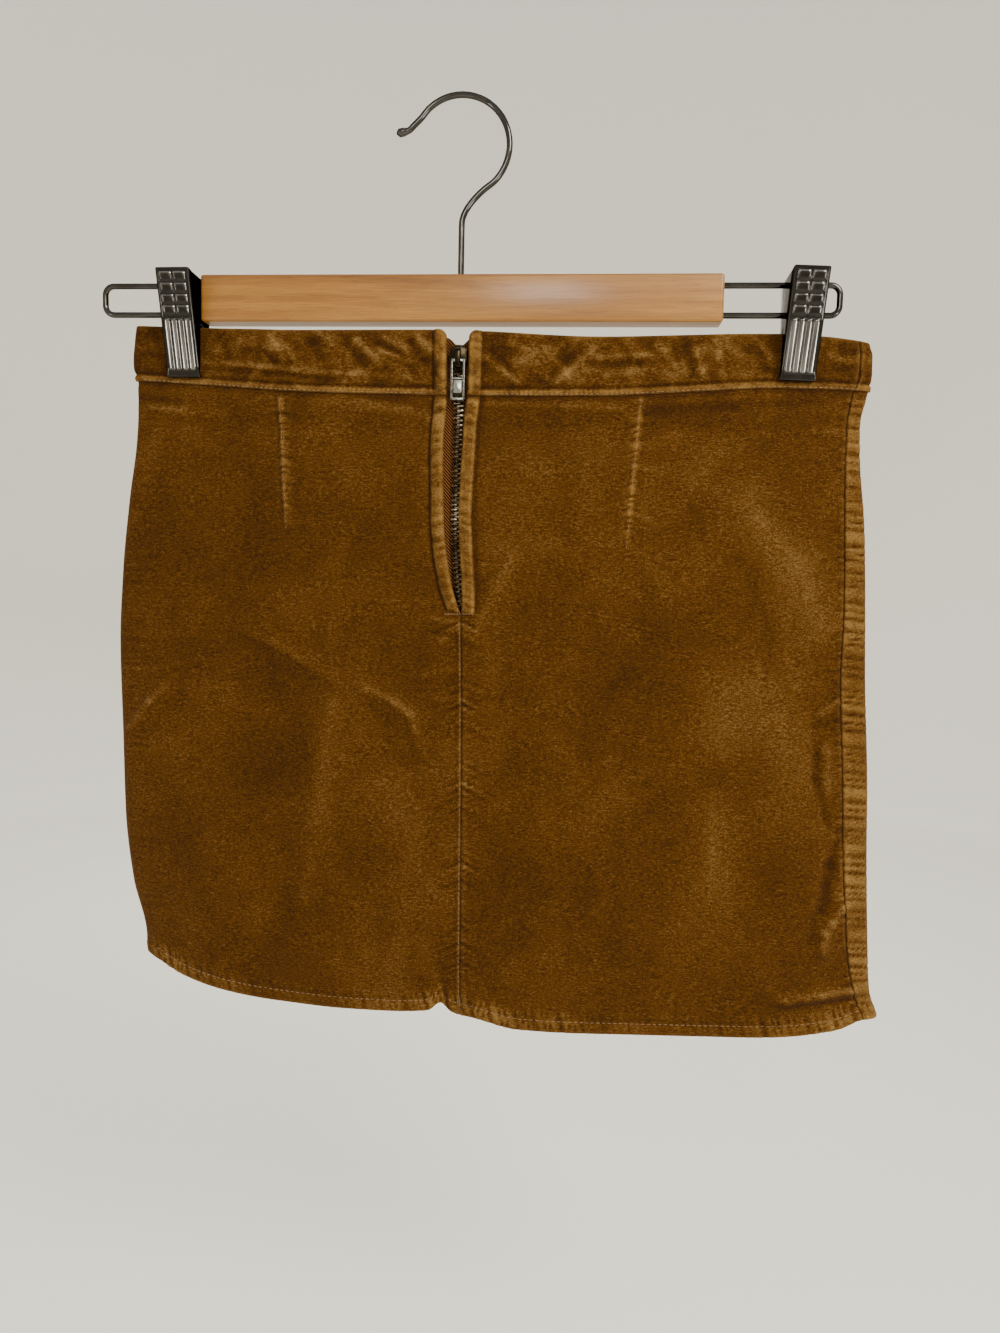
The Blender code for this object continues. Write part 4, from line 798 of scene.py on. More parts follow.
def build_cloth(cloth):
    """Panels and waistband as thin shells in place of their solids."""
    spacing = 1.3
    skirt = (skirt_rows, SECTIONS, ZIP_OPENING, CENTRE_LENGTH,
             fine_rows(CENTRE_LENGTH, spacing), HEM_EDGE)
    band = (band_rows, BAND_SECTIONS, BAND_OPENING, BAND_HEIGHT,
            fine_rows(BAND_HEIGHT, 0.7 * spacing), TOP_EDGE)
    made = []
    for node, side, lengths, flat, hung_from in CLOTH_PIECES:
        counts = [max(4, round(length / spacing)) for length in lengths]
        form = band if node.startswith("waistband") else skirt
        obj = dress(cloth_shell("cloth_" + node, cloth, side, counts, form), node)
        made.append(obj)
    return made


# -- copies of small shapes
def small_capsule(segments=6, rings=3):
    """Rounded grain along its own X, of half length 1 and radius 1."""
    turns = [2 * math.pi * s / segments for s in range(segments)]
    verts = [(-1.0, 0.0, 0.0)]
    for angle in (math.pi * k / (rings + 1) for k in range(1, rings + 1)):
        size = math.sin(angle)
        verts += [(-math.cos(angle), size * math.cos(t), size * math.sin(t)) for t in turns]
    last = len(verts)
    verts.append((1.0, 0.0, 0.0))
    sides = [(s, (s + 1) % segments) for s in range(segments)]
    faces = [(0, 1 + t, 1 + s) for s, t in sides]
    for a in range(1, last - segments, segments):
        faces += [(a + s, a + t, a + segments + t, a + segments + s) for s, t in sides]
    faces += [(last, last - segments + s, last - segments + t) for s, t in sides]
    return np.array(verts), faces


def points_and_faces(bm, base=0):
    """Points and faces of a bmesh, which is freed."""
    bm.verts.index_update()
    verts = [v.co[:] for v in bm.verts]
    faces = [tuple(base + v.index for v in f.verts) for f in bm.faces]
    bm.free()
    return verts, faces


def bevelled_box(size, radius, segments=2):
    """Points and faces of a box with rounded edges, about its centre."""
    bm = bmesh.new()
    bmesh.ops.create_cube(bm, size=1.0)
    bmesh.ops.scale(bm, verts=bm.verts, vec=size)
    bmesh.ops.bevel(bm, geom=bm.edges[:] + bm.verts[:], offset=radius, segments=segments,
                    profile=0.5, affect="EDGES")
    verts, faces = points_and_faces(bm)
    return np.array(verts), faces


def copies(name, shape, places, mat):
    """One mesh of many copies: each place is (origin, x axis, y axis, z axis), in millimetres."""
    verts, faces = shape
    all_verts, all_faces = [], []
    for n, (origin, *axes) in enumerate(places):
        all_verts.append(verts @ np.array(axes) + np.array(origin))
        all_faces += [tuple(i + n * len(verts) for i in f) for f in faces]
    return dress(mesh_object(name, np.concatenate(all_verts) * MM, all_faces, mat))


# -- materials
class Nodes:
    """Short hand for a material's node tree."""

    def __init__(self, name):
        self.mat = bpy.data.materials.new(name)
        self.mat.use_nodes = True
        self.tree = self.mat.node_tree
        self.shader = self.tree.nodes["Principled BSDF"]

    def add(self, kind, **inputs):
        """Node with its inputs set or linked, by name."""
        node = self.tree.nodes.new("ShaderNode" + kind)
        for key, value in inputs.items():
            self.put(node, key.replace("_", " "), value)
        return node

    def put(self, node, key, value):
        """Set or link one input."""
        socket = node.inputs[key]
        if isinstance(value, bpy.types.NodeSocket):
            self.tree.links.new(value, socket)
        else:
            socket.default_value = value

    def math(self, operation, *values):
        """Number worked out from others."""
        node = self.add("Math")
        node.operation = operation
        for i, value in enumerate(values):
            self.put(node, i, value)
        return node.outputs[0]

    def total(self, first, *rest):
        """Sum of all."""
        for value in rest:
            first = self.math("ADD", first, value)
        return first

    def times(self, value, factor):
        """Product of two."""
        return self.math("MULTIPLY", value, factor)

    def swing(self, value, amount):
        """A noise that swings both ways from 0."""
        return self.times(self.math("SUBTRACT", value, 0.5), amount)

    def ramp(self, value, *stops):
        """Colour ramp of (place, colour) stops."""
        node = self.add("ValToRGB")
        self.put(node, 0, value)
        elements = node.color_ramp.elements
        while len(elements) < len(stops):
            elements.new(0.5)
        for element, (place, colour) in zip(elements, stops):
            element.position = place
            element.color = (*colour, 1.0)
        return node.outputs[0]

    def place(self, stretch, turn):
        """The object's own coordinates, turned and scaled."""
        at = self.add("TexCoord").outputs["Object"]
        return self.add("Mapping", Vector=at, Rotation=turn, Scale=stretch).outputs[0]

    def noise(self, scale, detail=2.0, rough=0.5, distortion=0.0, stretch=(1, 1, 1),
              turn=(0, 0, 0)):
        """Noise from 0 to 1."""
        return self.add("TexNoise", Vector=self.place(stretch, turn), Scale=scale, Detail=detail,
                        Roughness=rough, Distortion=distortion).outputs["Fac"]

    def bands(self, scale, slant, distortion, detail):
        """Fine slanted bands, from 0 to 1."""
        node = self.add("TexWave", Vector=self.place((1, 1, 1), (0, slant, 0)), Scale=scale,
                        Distortion=distortion, Detail=detail)
        node.wave_type, node.bands_direction = "BANDS", "X"
        return node.outputs["Fac"]

    def mix(self, factor, a, b, blend="MIX"):
        """Mixed colour."""
        node = self.add("Mix")
        node.data_type, node.blend_type = "RGBA", blend
        for socket, value in ((0, factor), (6, a), (7, b)):
            self.put(node, socket, (*value, 1.0) if isinstance(value, tuple) else value)
        return node.outputs[2]

    def value(self, name):
        """Number that the mesh holds for each point."""
        node = self.add("Attribute")
        node.attribute_name = name
        return node.outputs["Fac"]

    def finish(self, colour, rough, bump=None, **rest):
        """Set the shader's inputs and a bump of (height, distance in metres, strength)."""
        if bump:
            node = self.add("Bump", **dict(zip(("Height", "Distance", "Strength"), bump)))
            self.put(self.shader, "Normal", node.outputs[0])
        for key, value in {"Base_Color": colour, "Roughness": rough, **rest}.items():
            self.put(self.shader, key.replace("_", " "), value)
        return self.mat


def cloth_material():
    """Brushed short nap: soft clouds, fine crosswise streaks, a faint slant, scuffed ridges with
    painted highlights, and the painted light and shade that the mesh's tone holds.
    """
    n = Nodes("ochre_cord")
    clouds = n.noise(26.0, 3.0, 0.62, 0.5, (1.0, 1.0, 0.8))
    patches = n.noise(9.0, 1.0)
    middle = n.noise(130.0, 1.0, 0.6, 0.6, (0.8, 1.0, 1.0), (0.0, 0.5, 0.0))
    streaks = n.noise(1700.0, 0.0, stretch=(0.30, 1.0, 1.0), turn=(0.0, 0.10, 0.0))
    flecks = n.noise(1300.0, 0.0)
    wear_and_highlight = n.value("wear_and_highlight")
    tone = n.total(n.value("tone"), CLOTH_BASE, n.swing(clouds, 0.36), n.swing(patches, 0.16),
                   n.swing(streaks, 0.42), n.swing(flecks, 0.42),
                   n.swing(n.bands(300.0, 0.62, 3.0, 0.0), 0.05),
                   n.times(n.value("crush"), n.swing(middle, 0.6)))
    # mix towards the pale colour for scuffing and painted highlights
    wear_and_highlight_mix = n.total(n.times(wear_and_highlight, n.total(n.times(middle, 3.0), -0.5)),
                   n.times(wear_and_highlight, n.swing(flecks, 1.2)))
    wear_and_highlight_mix = n.math("MINIMUM", n.math("MAXIMUM", wear_and_highlight_mix, 0.0), 1.0)
    return n.finish(n.mix(wear_and_highlight_mix, n.ramp(tone, *CLOTH_TONES), CLOTH_WEAR_AND_HIGHLIGHT), 0.92,
                    (n.total(streaks, n.times(flecks, 0.8)), 0.0004, 0.55),
                    Sheen_Weight=0.10, Sheen_Roughness=0.40, Sheen_Tint=(0.90, 0.58, 0.24, 1.0),
                    Specular_IOR_Level=0.08)


def thread_material():
    """Sewing thread, twisted, a shade lighter than the cloth."""
    n = Nodes("ochre_thread")
    colour = n.ramp(n.noise(300.0), *THREAD_TONES)
    twist = n.noise(2400.0, 1.0, turn=(0.4, 0.8, 0.0))
    return n.finish(colour, 0.75, (twist, 0.0002, 0.5), Sheen_Weight=0.2)


def tape_material():
    """Woven zip tape: dark brown with rust threads in a fine slant."""
    n = Nodes("brown_tape")
    weave = n.total(n.times(n.bands(280.0, 0.72, 1.0, 1.0), 0.85),
                    n.times(n.noise(900.0, 2.0, 0.7), 0.3))
    return n.finish(n.ramp(weave, *TAPE_TONES), 0.9, (weave, 0.0003, 0.7), Specular_IOR_Level=0.06)


def metal_material(name, dark, light, rough, scale, worn_at, edge, rub_and_highlight=None):
    """Plated metal with cloudy scuffing, fine scratches and painted highlights where the mesh
    marks them.
    """
    n = Nodes(name)
    clouds = n.noise(scale, 3.0, 0.6)
    scratches = n.noise(2600.0, 2.0, 0.6, stretch=(1.0, 1.0, 0.08))
    colour = n.ramp(clouds, (0.3, dark), (worn_at, light))
    if rub_and_highlight:
        # painted highlights where the mesh marks them
        colour = n.mix(n.value("wear_and_highlight"), colour, rub_and_highlight)
    low, spread = rough[0], rough[1] - rough[0]
    uneven = n.times(n.total(clouds, scratches), spread)
    return n.finish(colour, n.total(uneven, low - 0.25 * spread), (scratches, 0.00001, 0.2),
                    Metallic=1.0, Specular_Tint=(edge, 0.97 * edge, 0.92 * edge, 1.0))


def wood_material():
    """Honey-coloured straight-grained wood under clear varnish."""
    n = Nodes("varnished_wood")
    wander = n.noise(3.0, 2.0, 0.5, stretch=(2.2, 9.0, 9.0))
    fibre = n.noise(6.0, 3.0, 0.65, stretch=(9.0, 260.0, 260.0))
    rings = n.noise(4.0, 3.0, 0.55, 0.6, (1.6, 34.0, 34.0))
    pores = n.noise(3.0, 2.0, 0.6, stretch=(40.0, 900.0, 900.0))
    tone = n.total(n.times(wander, 0.36), n.times(rings, 0.52), n.times(fibre, 0.36))
    colour = n.mix(0.55, n.ramp(tone, *WOOD_TONES), n.ramp(pores, *PORE_TONES), "MULTIPLY")
    return n.finish(colour, 0.45, (n.total(fibre, pores), 0.00006, 0.5),
                    Coat_Weight=0.34, Coat_Roughness=0.20, Specular_IOR_Level=0.30)


def stage_material():
    """Plain pale matt floor and backdrop."""
    return Nodes("pale_stage").finish((0.86, 0.84, 0.765, 1.0), 1.0, Specular_IOR_Level=0.0)


# -- stitches
def cloth_tree(pieces):
    """Search tree of the cloth's faces, in metres."""
    verts, faces = [], []
    for obj in pieces:
        base = len(verts)
        verts += [v.co[:] for v in obj.data.vertices]
        faces += [tuple(base + i for i in p.vertices) for p in obj.data.polygons]
    return BVHTree.FromPolygons(verts, faces)


def lay_stitches(tree, back, pitch, half, radius, sink, route):
    """Stitches laid on the cloth along a route of x and z."""
    route = np.array(route, float)
    way = np.concatenate(([0.0], np.cumsum(np.hypot(*np.diff(route, axis=0).T))))
    side = 1 if back else -1
    places = []
    for s in np.arange(pitch / 2, way[-1], pitch):
        (x, z), (nx, nz), (px, pz) = ([np.interp(t, way, route[:, k]) for k in (0, 1)]
                                      for t in (s, s + 0.5, s - 0.5))
        start = Vector((x * MM, -0.06 * side, z * MM))
        hit, normal, _, _ = tree.ray_cast(start, Vector((0, side, 0)))
        if hit is None:
            continue
        run = Vector((nx - px, 0.0, nz - pz))
        run = (run - normal * run.dot(normal)).normalized()
        axes = run * half, normal.cross(run) * radius, normal * radius
        places.append((hit / MM - normal * sink, *axes))
    return places


def hem_route(first, last, back):
    """Stitch line of the hem."""
    return [(x, float(hem_line(x, back)) + HEM_BAND - 0.9) for x in np.linspace(first, last, 160)]


def waist_route(first, last, above):
    """Stitch line along the waist seam, in the waistband."""
    return [(x, float(WAIST.at("seam", x)) + above) for x in np.linspace(first, last, 120)]


def seam_route(offset, first, last):
    """Line beside the centre back seam."""
    route = []
    for share in np.linspace(first, last, 60):
        x = sum(opening_at(ZIP_OPENING, share)) / 2 + offset
        top, low = float(WAIST.at("seam", x)), float(hem_line(x, True))
        route.append((x, top + share * (low - top)))
    return route


def build_stitches(cloth_pieces, thread):
    """All sewing that shows, as a few joined meshes."""
    tree = cloth_tree(cloth_pieces)
    rows = (
        ("hem_back", True, HEM_STITCH, [hem_route(-158.0, -5.0, True),
                                        hem_route(2.5, 214.0, True)]),
        ("hem_front", False, HEM_STITCH, [hem_route(-155.0, 216.0, False)]),
        ("waist_back", True, (2.5, 0.85, 0.30, 0.05),
         [waist_route(-164.0, -13.0, 0.7), waist_route(15.0, 201.0, 0.7)]),
        ("waist_front", False, (2.5, 0.95, 0.24, 0.05), [waist_route(-164.0, 201.0, 0.5)]),
        ("centre_back", True, (2.6, 0.9, 0.2, 0.05), [seam_route(-0.75, ZIP_END + 0.01, 0.985)]),
        ("placket_end", True, (1.5, 0.8, 0.3, 0.05), [[(-3.4, -256.8), (11.4, -256.2)]]),
        ("darts", True, (2.7, 0.85, 0.16, 0.02), [[dart[:2], dart[2:]] for dart in DARTS]),
    )
    for name, back, sizes, routes in rows:
        places = [p for route in routes for p in lay_stitches(tree, back, *sizes, route)]
        copies("stitches_" + name, small_capsule(), places, thread)


# -- zip
def zip_place(z):
    """Face of the cloth beside the zip (y), its opening and the chain's middle at a height."""
    seam, top = float(WAIST.at("seam", 1.0)), float(WAIST.at("top", 1.0))
    if z > seam:
        rows, sections, pinch, share = BAND_OPENING, BAND_SECTIONS, 1.0, (top - z) / (top - seam)
    else:
        rows, sections, pinch, share = ZIP_OPENING, SECTIONS, 0.0, (seam - z) / CENTRE_LENGTH
    share = max(0.0, share)
    ring = Ring(share, sections, pinch)
    face = float(ring.point(ring.way_at(1.0))[1])
    return (face, *opening_at(rows, share), float(CHAIN_LINE.at("x", z)))


def zip_tape(name, mat, side):
    """One tape of the zip, with a rounded fold beside the chain."""
    rows, columns = 90, 15
    outer = np.zeros((rows, columns, 3))
    farther = max if side > 0 else min
    u = np.linspace(0.0, 1.0, columns)
    for j, z in enumerate(np.linspace(TAPE_Z[1], TAPE_Z[0], rows)):
        face, left, right, chain = zip_place(z)
        lip = right if side > 0 else left
        beside_slider = z > SLIDER_Z[0] - TAPE_DEEP_BESIDE
        half = (SLIDER_WIDTH if beside_slider else CHAIN_WIDTH) / 2
        deep_until = chain + side * (half + TAPE_SIDE_GAP)
        shallow_from = farther(lip + side * 1.0, deep_until + side * TAPE_SLOPE)
        edge = farther(lip + side * TAPE_UNDER_LIP, shallow_from + side * TAPE_FLAT)
        x = np.interp(u, (0.0, 0.4, 0.7, 1.0),
                      (chain + side * SEAM_GAP / 2, deep_until, shallow_from, edge))
        rise = step((u - 0.4) / 0.3)
        depth = TAPE_DEEP + (TAPE_SHALLOW - TAPE_DEEP) * rise + 0.06 * np.sin(z * 1.1 + 3 * u)
        down = TAPE_TOP_DROP * (1 - step(np.abs(x - chain) / TAPE_TOP_REACH))
        near_top = step((z - TAPE_Z[1] + 12.0) / 12.0)
        outer[j] = np.stack((x, face + depth, z - (1.5 + down) * near_top), axis=1)
    inner = outer + np.array((0.0, TAPE_WALL, 0.0))
    obj = dress(closed_shell(name + "_woven", outer, inner, mat, flip=side > 0), name)


def zip_teeth(mat):
    """Two rows of interlocked teeth along the chain, in place of the plain band."""
    places = []
    side, z = -1, SLIDER_Z[0] - 1.2
    while z > CHAIN_END_Z + 0.8:
        face, _, _, chain = zip_place(z)
        lean = math.atan2(zip_place(z - 2.0)[3] - chain, 2.0)
        along_x = Vector((math.cos(lean), 0.0, math.sin(lean)))
        centre = Vector((chain, face + sum(CHAIN_DEPTH) / 2, z))
        places.append((centre + along_x * side * (CHAIN_WIDTH - TOOTH[0]) / 2, along_x,
                       Vector((0, 1, 0)), Vector((-math.sin(lean), 0.0, math.cos(lean)))))
        side, z = -side, z - TOOTH_PITCH / 2
    shape = bevelled_box((TOOTH[0], CHAIN_DEPTH[1] - CHAIN_DEPTH[0], TOOTH[1]), 0.3)
    obj = copies("zip_teeth", shape, places, mat)
    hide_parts("zip_chain")
    obj.data.set_sharp_from_angle(angle=math.radians(SHARP))
    z = np.array([v.co[2] for v in obj.data.vertices]) / MM
    # painted glints on the teeth, near the top and lower down
    glint = bell((z + 148.0) / 12.0) + 0.8 * bell((z + 205.0) / 7.0)
    add_value(obj, "wear_and_highlight", 0.8 * glint * np.clip(ripple(z, 1.9, 0.6) * 1.6 + 0.2, 0.0, 1.0))
    face, _, _, chain = zip_place(CHAIN_END_Z + 1.0)
    at = Vector((chain - 1.0, face + 2.6, CHAIN_END_Z + 0.4))
    copies("zip_stop", bevelled_box((2.2, 1.4, 2.4), 0.35), [(at, *AXES)], mat)


def solid(outline, low, high, axis="Y", radius=0.0, segments=3):
    """bmesh of an outline extruded along Y (outline in x, z) or X (outline in y, z), rounded."""
    bm = bmesh.new()
    points = [(a, low, z) if axis == "Y" else (low, a, z) for a, z in outline]
    face = bm.faces.new([bm.verts.new(Vector(point) * MM) for point in points])
    out = bmesh.ops.extrude_face_region(bm, geom=[face])
    move = Vector((0, high - low, 0)) if axis == "Y" else Vector((high - low, 0, 0))
    new = [g for g in out["geom"] if isinstance(g, bmesh.types.BMVert)]
    bmesh.ops.translate(bm, verts=new, vec=move * MM)
    bmesh.ops.recalc_face_normals(bm, faces=bm.faces)
    if radius:
        limit = math.radians(35.0)
        edges = [e for e in bm.edges if len(e.link_faces) == 2 and e.calc_face_angle(0.0) > limit]
        bmesh.ops.bevel(bm, geom=edges, offset=radius * MM, segments=segments, profile=0.5,
                        affect="EDGES", clamp_overlap=True)
    return bm


def joined(name, parts, mat):
    """Object from several bmeshes."""
    verts, faces = [], []
    for bm in parts:
        more_verts, more_faces = points_and_faces(bm, len(verts))
        verts += more_verts
        faces += more_faces
    return mesh_object(name, verts, faces, mat, SHARP)


def arc(cx, cz, radius, start, end, steps):
    """Points of an arc in x and z."""
    angles = [math.radians(start + (end - start) * k / steps) for k in range(steps + 1)]
    return [(cx + radius * math.cos(a), cz + radius * math.sin(a)) for a in angles]


def zip_slider(mat, x):
    """Slider: two rounded plates on a neck, with a strap over the pull's bar."""
    low, high = SLIDER_Z
    half = SLIDER_WIDTH / 2
    face, rear = SLIDER_Y

    def shield(size):
        points = [(x + size * math.cos(a),
                   high - half * 0.55 * (1 - math.sin(a)) - (half - size) * 0.8)
                  for a in np.linspace(0.0, math.pi, 13)]
        foot = low + (half - size)
        return points + [(x - size * 0.97, low + SLIDER_FOOT), (x - size * 0.66, foot),
                         (x + size * 0.66, foot), (x + size * 0.97, low + SLIDER_FOOT)]

    def arch(inwards, r):
        y = face - BRIDGE_RISE - BRIDGE_WALL + inwards
        z0, z1 = BRIDGE_Z[0] + inwards, BRIDGE_Z[1] - inwards
        angles = np.linspace(0.0, math.pi / 2, 6)
        return ([(face + 0.5, z0)]
                + [(y + r - r * math.sin(a), z0 + r - r * math.cos(a)) for a in angles]
                + [(y + r - r * math.cos(a), z1 - r + r * math.sin(a)) for a in angles]
                + [(face + 0.5, z1)])

    strap = arch(0.0, 1.7) + arch(BRIDGE_WALL, 1.7 - BRIDGE_WALL * 0.6)[::-1]
    parts = [
        solid(shield(half), face, face + 1.7, radius=0.5),
        solid(shield(half), rear - 1.4, rear, radius=0.5),
        solid(shield(half * 0.62), face + 1.2, rear - 1.0),
        solid(strap, x - BRIDGE_WIDTH / 2, x + BRIDGE_WIDTH / 2, "X", 0.28, 2),
    ]
    dress(joined("zip_slider_body", parts, mat), "zip_slider")


def zip_pull(rim, core, x):
    """Pull tab: a rim round a window for the strap, a raised plate and an open foot."""
    half = PULL_WIDTH / 2
    y0, y1 = PULL_AXIS_Y - PULL_WALL / 2, PULL_AXIS_Y + PULL_WALL / 2

    def slab(x0, x1, z0, z1, corner=0.5, low=y0, high=y1, edge=0.3):
        points = []
        for k, (cx, cz) in enumerate(((x1 - corner, z1 - corner), (x0 + corner, z1 - corner),
                                      (x0 + corner, z0 + corner), (x1 - corner, z0 + corner))):
            points += arc(x + cx, PULL_AXIS_Z + cz, corner, 90 * k, 90 * k + 90, 4)
        return solid(points, low, high, "Y", edge, 2)

    side = 0.85
    rim_parts = [
        slab(-half, -half + side, -PULL_LENGTH, PULL_TOP),
        slab(half - side, half, -PULL_LENGTH, PULL_TOP),
        slab(-half, half, -0.65, PULL_TOP),
        slab(-half, half, -9.3, -8.4, 0.35),
        slab(-half, half, -PULL_LENGTH, -PULL_LENGTH + 1.3),
    ]
    base = slab(-half + 0.8, half - 0.8, -PULL_LENGTH + 0.8, -9.0, 0.3, y1 - 0.45, y1 - 0.1, 0.0)
    plate = slab(-half + 1.35, half - 1.35, -16.1, -9.6, 0.4, y0 + 0.1, y1 - 0.3, 0.25)
    dress(joined("zip_pull_rim", rim_parts, rim), "zip_pull", PULL_BODY)
    dress(joined("zip_pull_base", [base], core), None, PULL_BODY)
    dress(joined("zip_pull_plate", [plate], rim), None, PULL_BODY)


# -- hanger
def wire(name, node, points, diameter, mat, radii=None, resolution=5):
    """Round wire through points, with closed ends."""
    curve = bpy.data.curves.new(name, "CURVE")
    curve.dimensions = "3D"
    curve.bevel_depth = diameter / 2 * MM
    curve.bevel_resolution = resolution
    curve.use_fill_caps = True
    spline = curve.splines.new("POLY")
    spline.points.add(len(points) - 1)
    for point, at, radius in zip(spline.points, points, radii or [1.0] * len(points)):
        point.co, point.radius = (*(v * MM for v in at), 1.0), radius
    spline.use_smooth = True
    curve.materials.append(mat)
    dress(linked(name, curve), node)


def spline_points(points, each):
    """Points on a smooth curve through the given ones."""
    route = [np.array(p, float) for p in points]
    route = [2 * route[0] - route[1]] + route + [2 * route[-1] - route[-2]]
    out = []
    for i in range(1, len(route) - 2):
        p0, p1, p2, p3 = route[i - 1:i + 3]
        for t in (k / each for k in range(each)):
            out.append(0.5 * (2 * p1 + (p2 - p0) * t + (2 * p0 - 5 * p1 + 4 * p2 - p3) * t * t
                              + (3 * p1 - p0 - 3 * p2 + p3) * t ** 3))
    return out + [route[-2]]


def hanger_hook(mat):
    """Hook of polished wire with a rounded, slightly swollen end."""
    route = list(HOOK_NECK) + arc(0.0, WIRE / 2 - HOOK_RADIUS, HOOK_RADIUS, *HOOK_ARC, 16)
    stem = [(HOOK_NECK[0][0], BAR_Z[1] + above) for above in (-4.0, 2.0)]
    route = stem + spline_points(route + list(HOOK_TIP), 6)
    points = [(float(x), 0.0, float(z)) for x, z in route]
    radii = [1.0] * len(points)
    end = Vector(points[-1]) - Vector(points[-2])
    length = 0.0
    for k in range(1, 12):
        length += (Vector(points[-k]) - Vector(points[-k - 1])).length
        radii[-k - 1] = 1.0 + 0.32 * float(1 - step((length - 1.6) / 2.6))
    radii[-1] = 1.32
    for radius in (1.24, 1.0, 0.66, 0.2):
        points.append(tuple(Vector(points[-1]) + end.normalized() * 0.45))
        radii.append(radius)
    wire("hook_wire", "hanger_hook", points, WIRE, mat, radii, 8)


def hanger_rails(mat):
    """A U of wire out of each end of the bar."""
    low, high = RAIL_Z
    r = RAIL_CORNER
    for side, word, end in ((-1, "left", RAIL_ENDS[0]), (1, "right", RAIL_ENDS[1])):
        start, corner, outwards = side * (BAR_X - 6.0), end - side * r, 90 - side * 90
        points = [(start, high)] + arc(corner, high - r, r, 90, outwards, 10)
        points += arc(corner, low + r, r, outwards, outwards - side * 90, 10) + [(start, low)]
        node = "hanger_rail_" + word
        wire(node + "_wire", node, [(x, 0.0, z) for x, z in points], RAIL_WIRE, mat)


def hanger_bar(mat):
    """Wooden bar with rounded edges."""
    bm = bmesh.new()
    bmesh.ops.create_cube(bm, size=1.0)
    size = Vector((2 * BAR_X, 2 * BAR_HALF_DEPTH, BAR_Z[1] - BAR_Z[0]))
    bmesh.ops.scale(bm, verts=bm.verts, vec=size * MM)
    bmesh.ops.translate(bm, verts=bm.verts, vec=Vector((0.0, 0.0, sum(BAR_Z) / 2)) * MM)
    bmesh.ops.bevel(bm, geom=bm.edges[:], offset=BAR_EDGE * MM, segments=5, profile=0.5,
                    affect="EDGES")
    dress(joined("wooden_bar", [bm], mat), "hanger_bar")


def lever_relief(x, share, width):
    """Raised pads and flutes of a lever's face, and the painted highlights on the pads' upper rims
    and the flutes' crests.
    """
    face = width - 3.2
    u = (x + face / 2) / face
    columns, rows = PADS
    v, w = ((share - first) / (last - first) for first, last in (PAD_SPAN, FLUTE_SPAN))
    du, dv, dw = (np.abs(s % 1.0 - 0.5) * 2 for s in (u * columns, v * rows, u * FLUTE_COUNT))
    pad = 1 - np.clip(du / 0.90, 0, 1.3) ** 6 - np.clip(dv / 0.86, 0, 1.3) ** 5
    pad = np.clip(pad, 0.0, 1.0) ** 0.5
    inside = (u > 0) & (u < 1)
    on_pads = inside & (v > 0) & (v < 1)
    ends = np.clip(w / 0.055, 0, 1) * np.clip((1 - w) / 0.02, 0, 1)
    flute = np.sqrt(np.clip(1 - (dw / 0.92) ** 2, 0.0, 1.0))
    flute = flute * np.sqrt(np.clip(ends * (2 - ends), 0, 1))
    on_flutes = inside & (w > 0) & (w < 1)
    glints = np.sin(9.0 * share + 5.0 * u * FLUTE_COUNT)
    # painted highlights on the upper rims of the pads and on the crests of the flutes
    rub_and_highlight = 0.8 * on_pads * np.clip(4 * pad * (1 - pad), 0, 1)
    rub_and_highlight = rub_and_highlight * bell((v * rows % 1.0 - 0.22) / 0.30)
    rub_and_highlight += on_flutes * flute ** 3 * (0.46 + 0.20 * glints)
    return PAD_RISE * pad * on_pads + FLUTE_RISE * flute * on_flutes, np.clip(rub_and_highlight, 0.0, 1.0)


def clip_lever(name, node, side, width, pivot, turned, mat):
    """Pressed lever: a face with pads and flutes, rounded into two flanges."""
    (foot_y, foot_z), (head_y, head_z) = LEVER_FRONT
    corner, half = 1.5, width / 2
    fine = 0.36 if side < 0 else 0.5
    angles = np.linspace(0, math.pi / 2, 5)
    normals = np.array([(-1.0, 0.0)] * 4 + [(-math.cos(a), math.sin(a)) for a in angles])
    outer, inner, shine = [], [], []
    middle = np.linspace(0.018, 0.982, round(50 / fine))
    for share in (0.0, 0.004, 0.01, *middle, 0.99, 0.996, 1.0):
        z = head_z + (foot_z - head_z) * share
        y_face = head_y + (foot_y - head_y) * share
        y_back = min(float(np.interp(z, *LEVER_BACK)), y_face - 0.5)
        depth = y_face - y_back
        r = min(corner, depth * 0.8)
        bend = [(-half + r - r * math.cos(a), y_face - r + r * math.sin(a)) for a in angles]
        left = np.array([(-half, y_back + (depth - r) * k / 4) for k in range(4)] + bend)
        xs = np.linspace(-half + r, half - r, round((width - 2 * corner) / fine) + 1)[1:-1]
        flat = np.stack((xs, np.full_like(xs, y_face)), axis=1)
        points = np.concatenate((left, flat, left[::-1] * (-1.0, 1.0)))
        straight = np.tile((0.0, 1.0), (len(xs), 1))
        out = np.concatenate((normals, straight, normals[::-1] * (-1.0, 1.0)))
        end_drop = rounded(min(share, 1 - share) * 52.0, 0.5)
        raised, rub_and_highlight = lever_relief(points[:, 0], np.full(len(points), share), width)
        on_face = out[:, 1] > 0.9
        shine.append(rub_and_highlight * on_face)
        face = points + out * (raised * on_face - end_drop)[:, None]
        back = points - out * (LEVER_WALL - end_drop)
        for grid, wall in ((outer, face), (inner, back)):
            grid.append(np.stack((wall[:, 0], wall[:, 1] * side,
                                  np.full(len(wall), z - CLIP_PIVOT_Z)), axis=1))
    outer, inner = (np.array(grid) @ np.array(turned).T + np.array(pivot)
                    for grid in (outer, inner))
    obj = dress(closed_shell(name, outer, inner, mat, flip=side > 0), node)
    # painted highlights on the pads and flutes
    add_value(obj, "wear_and_highlight", shine)


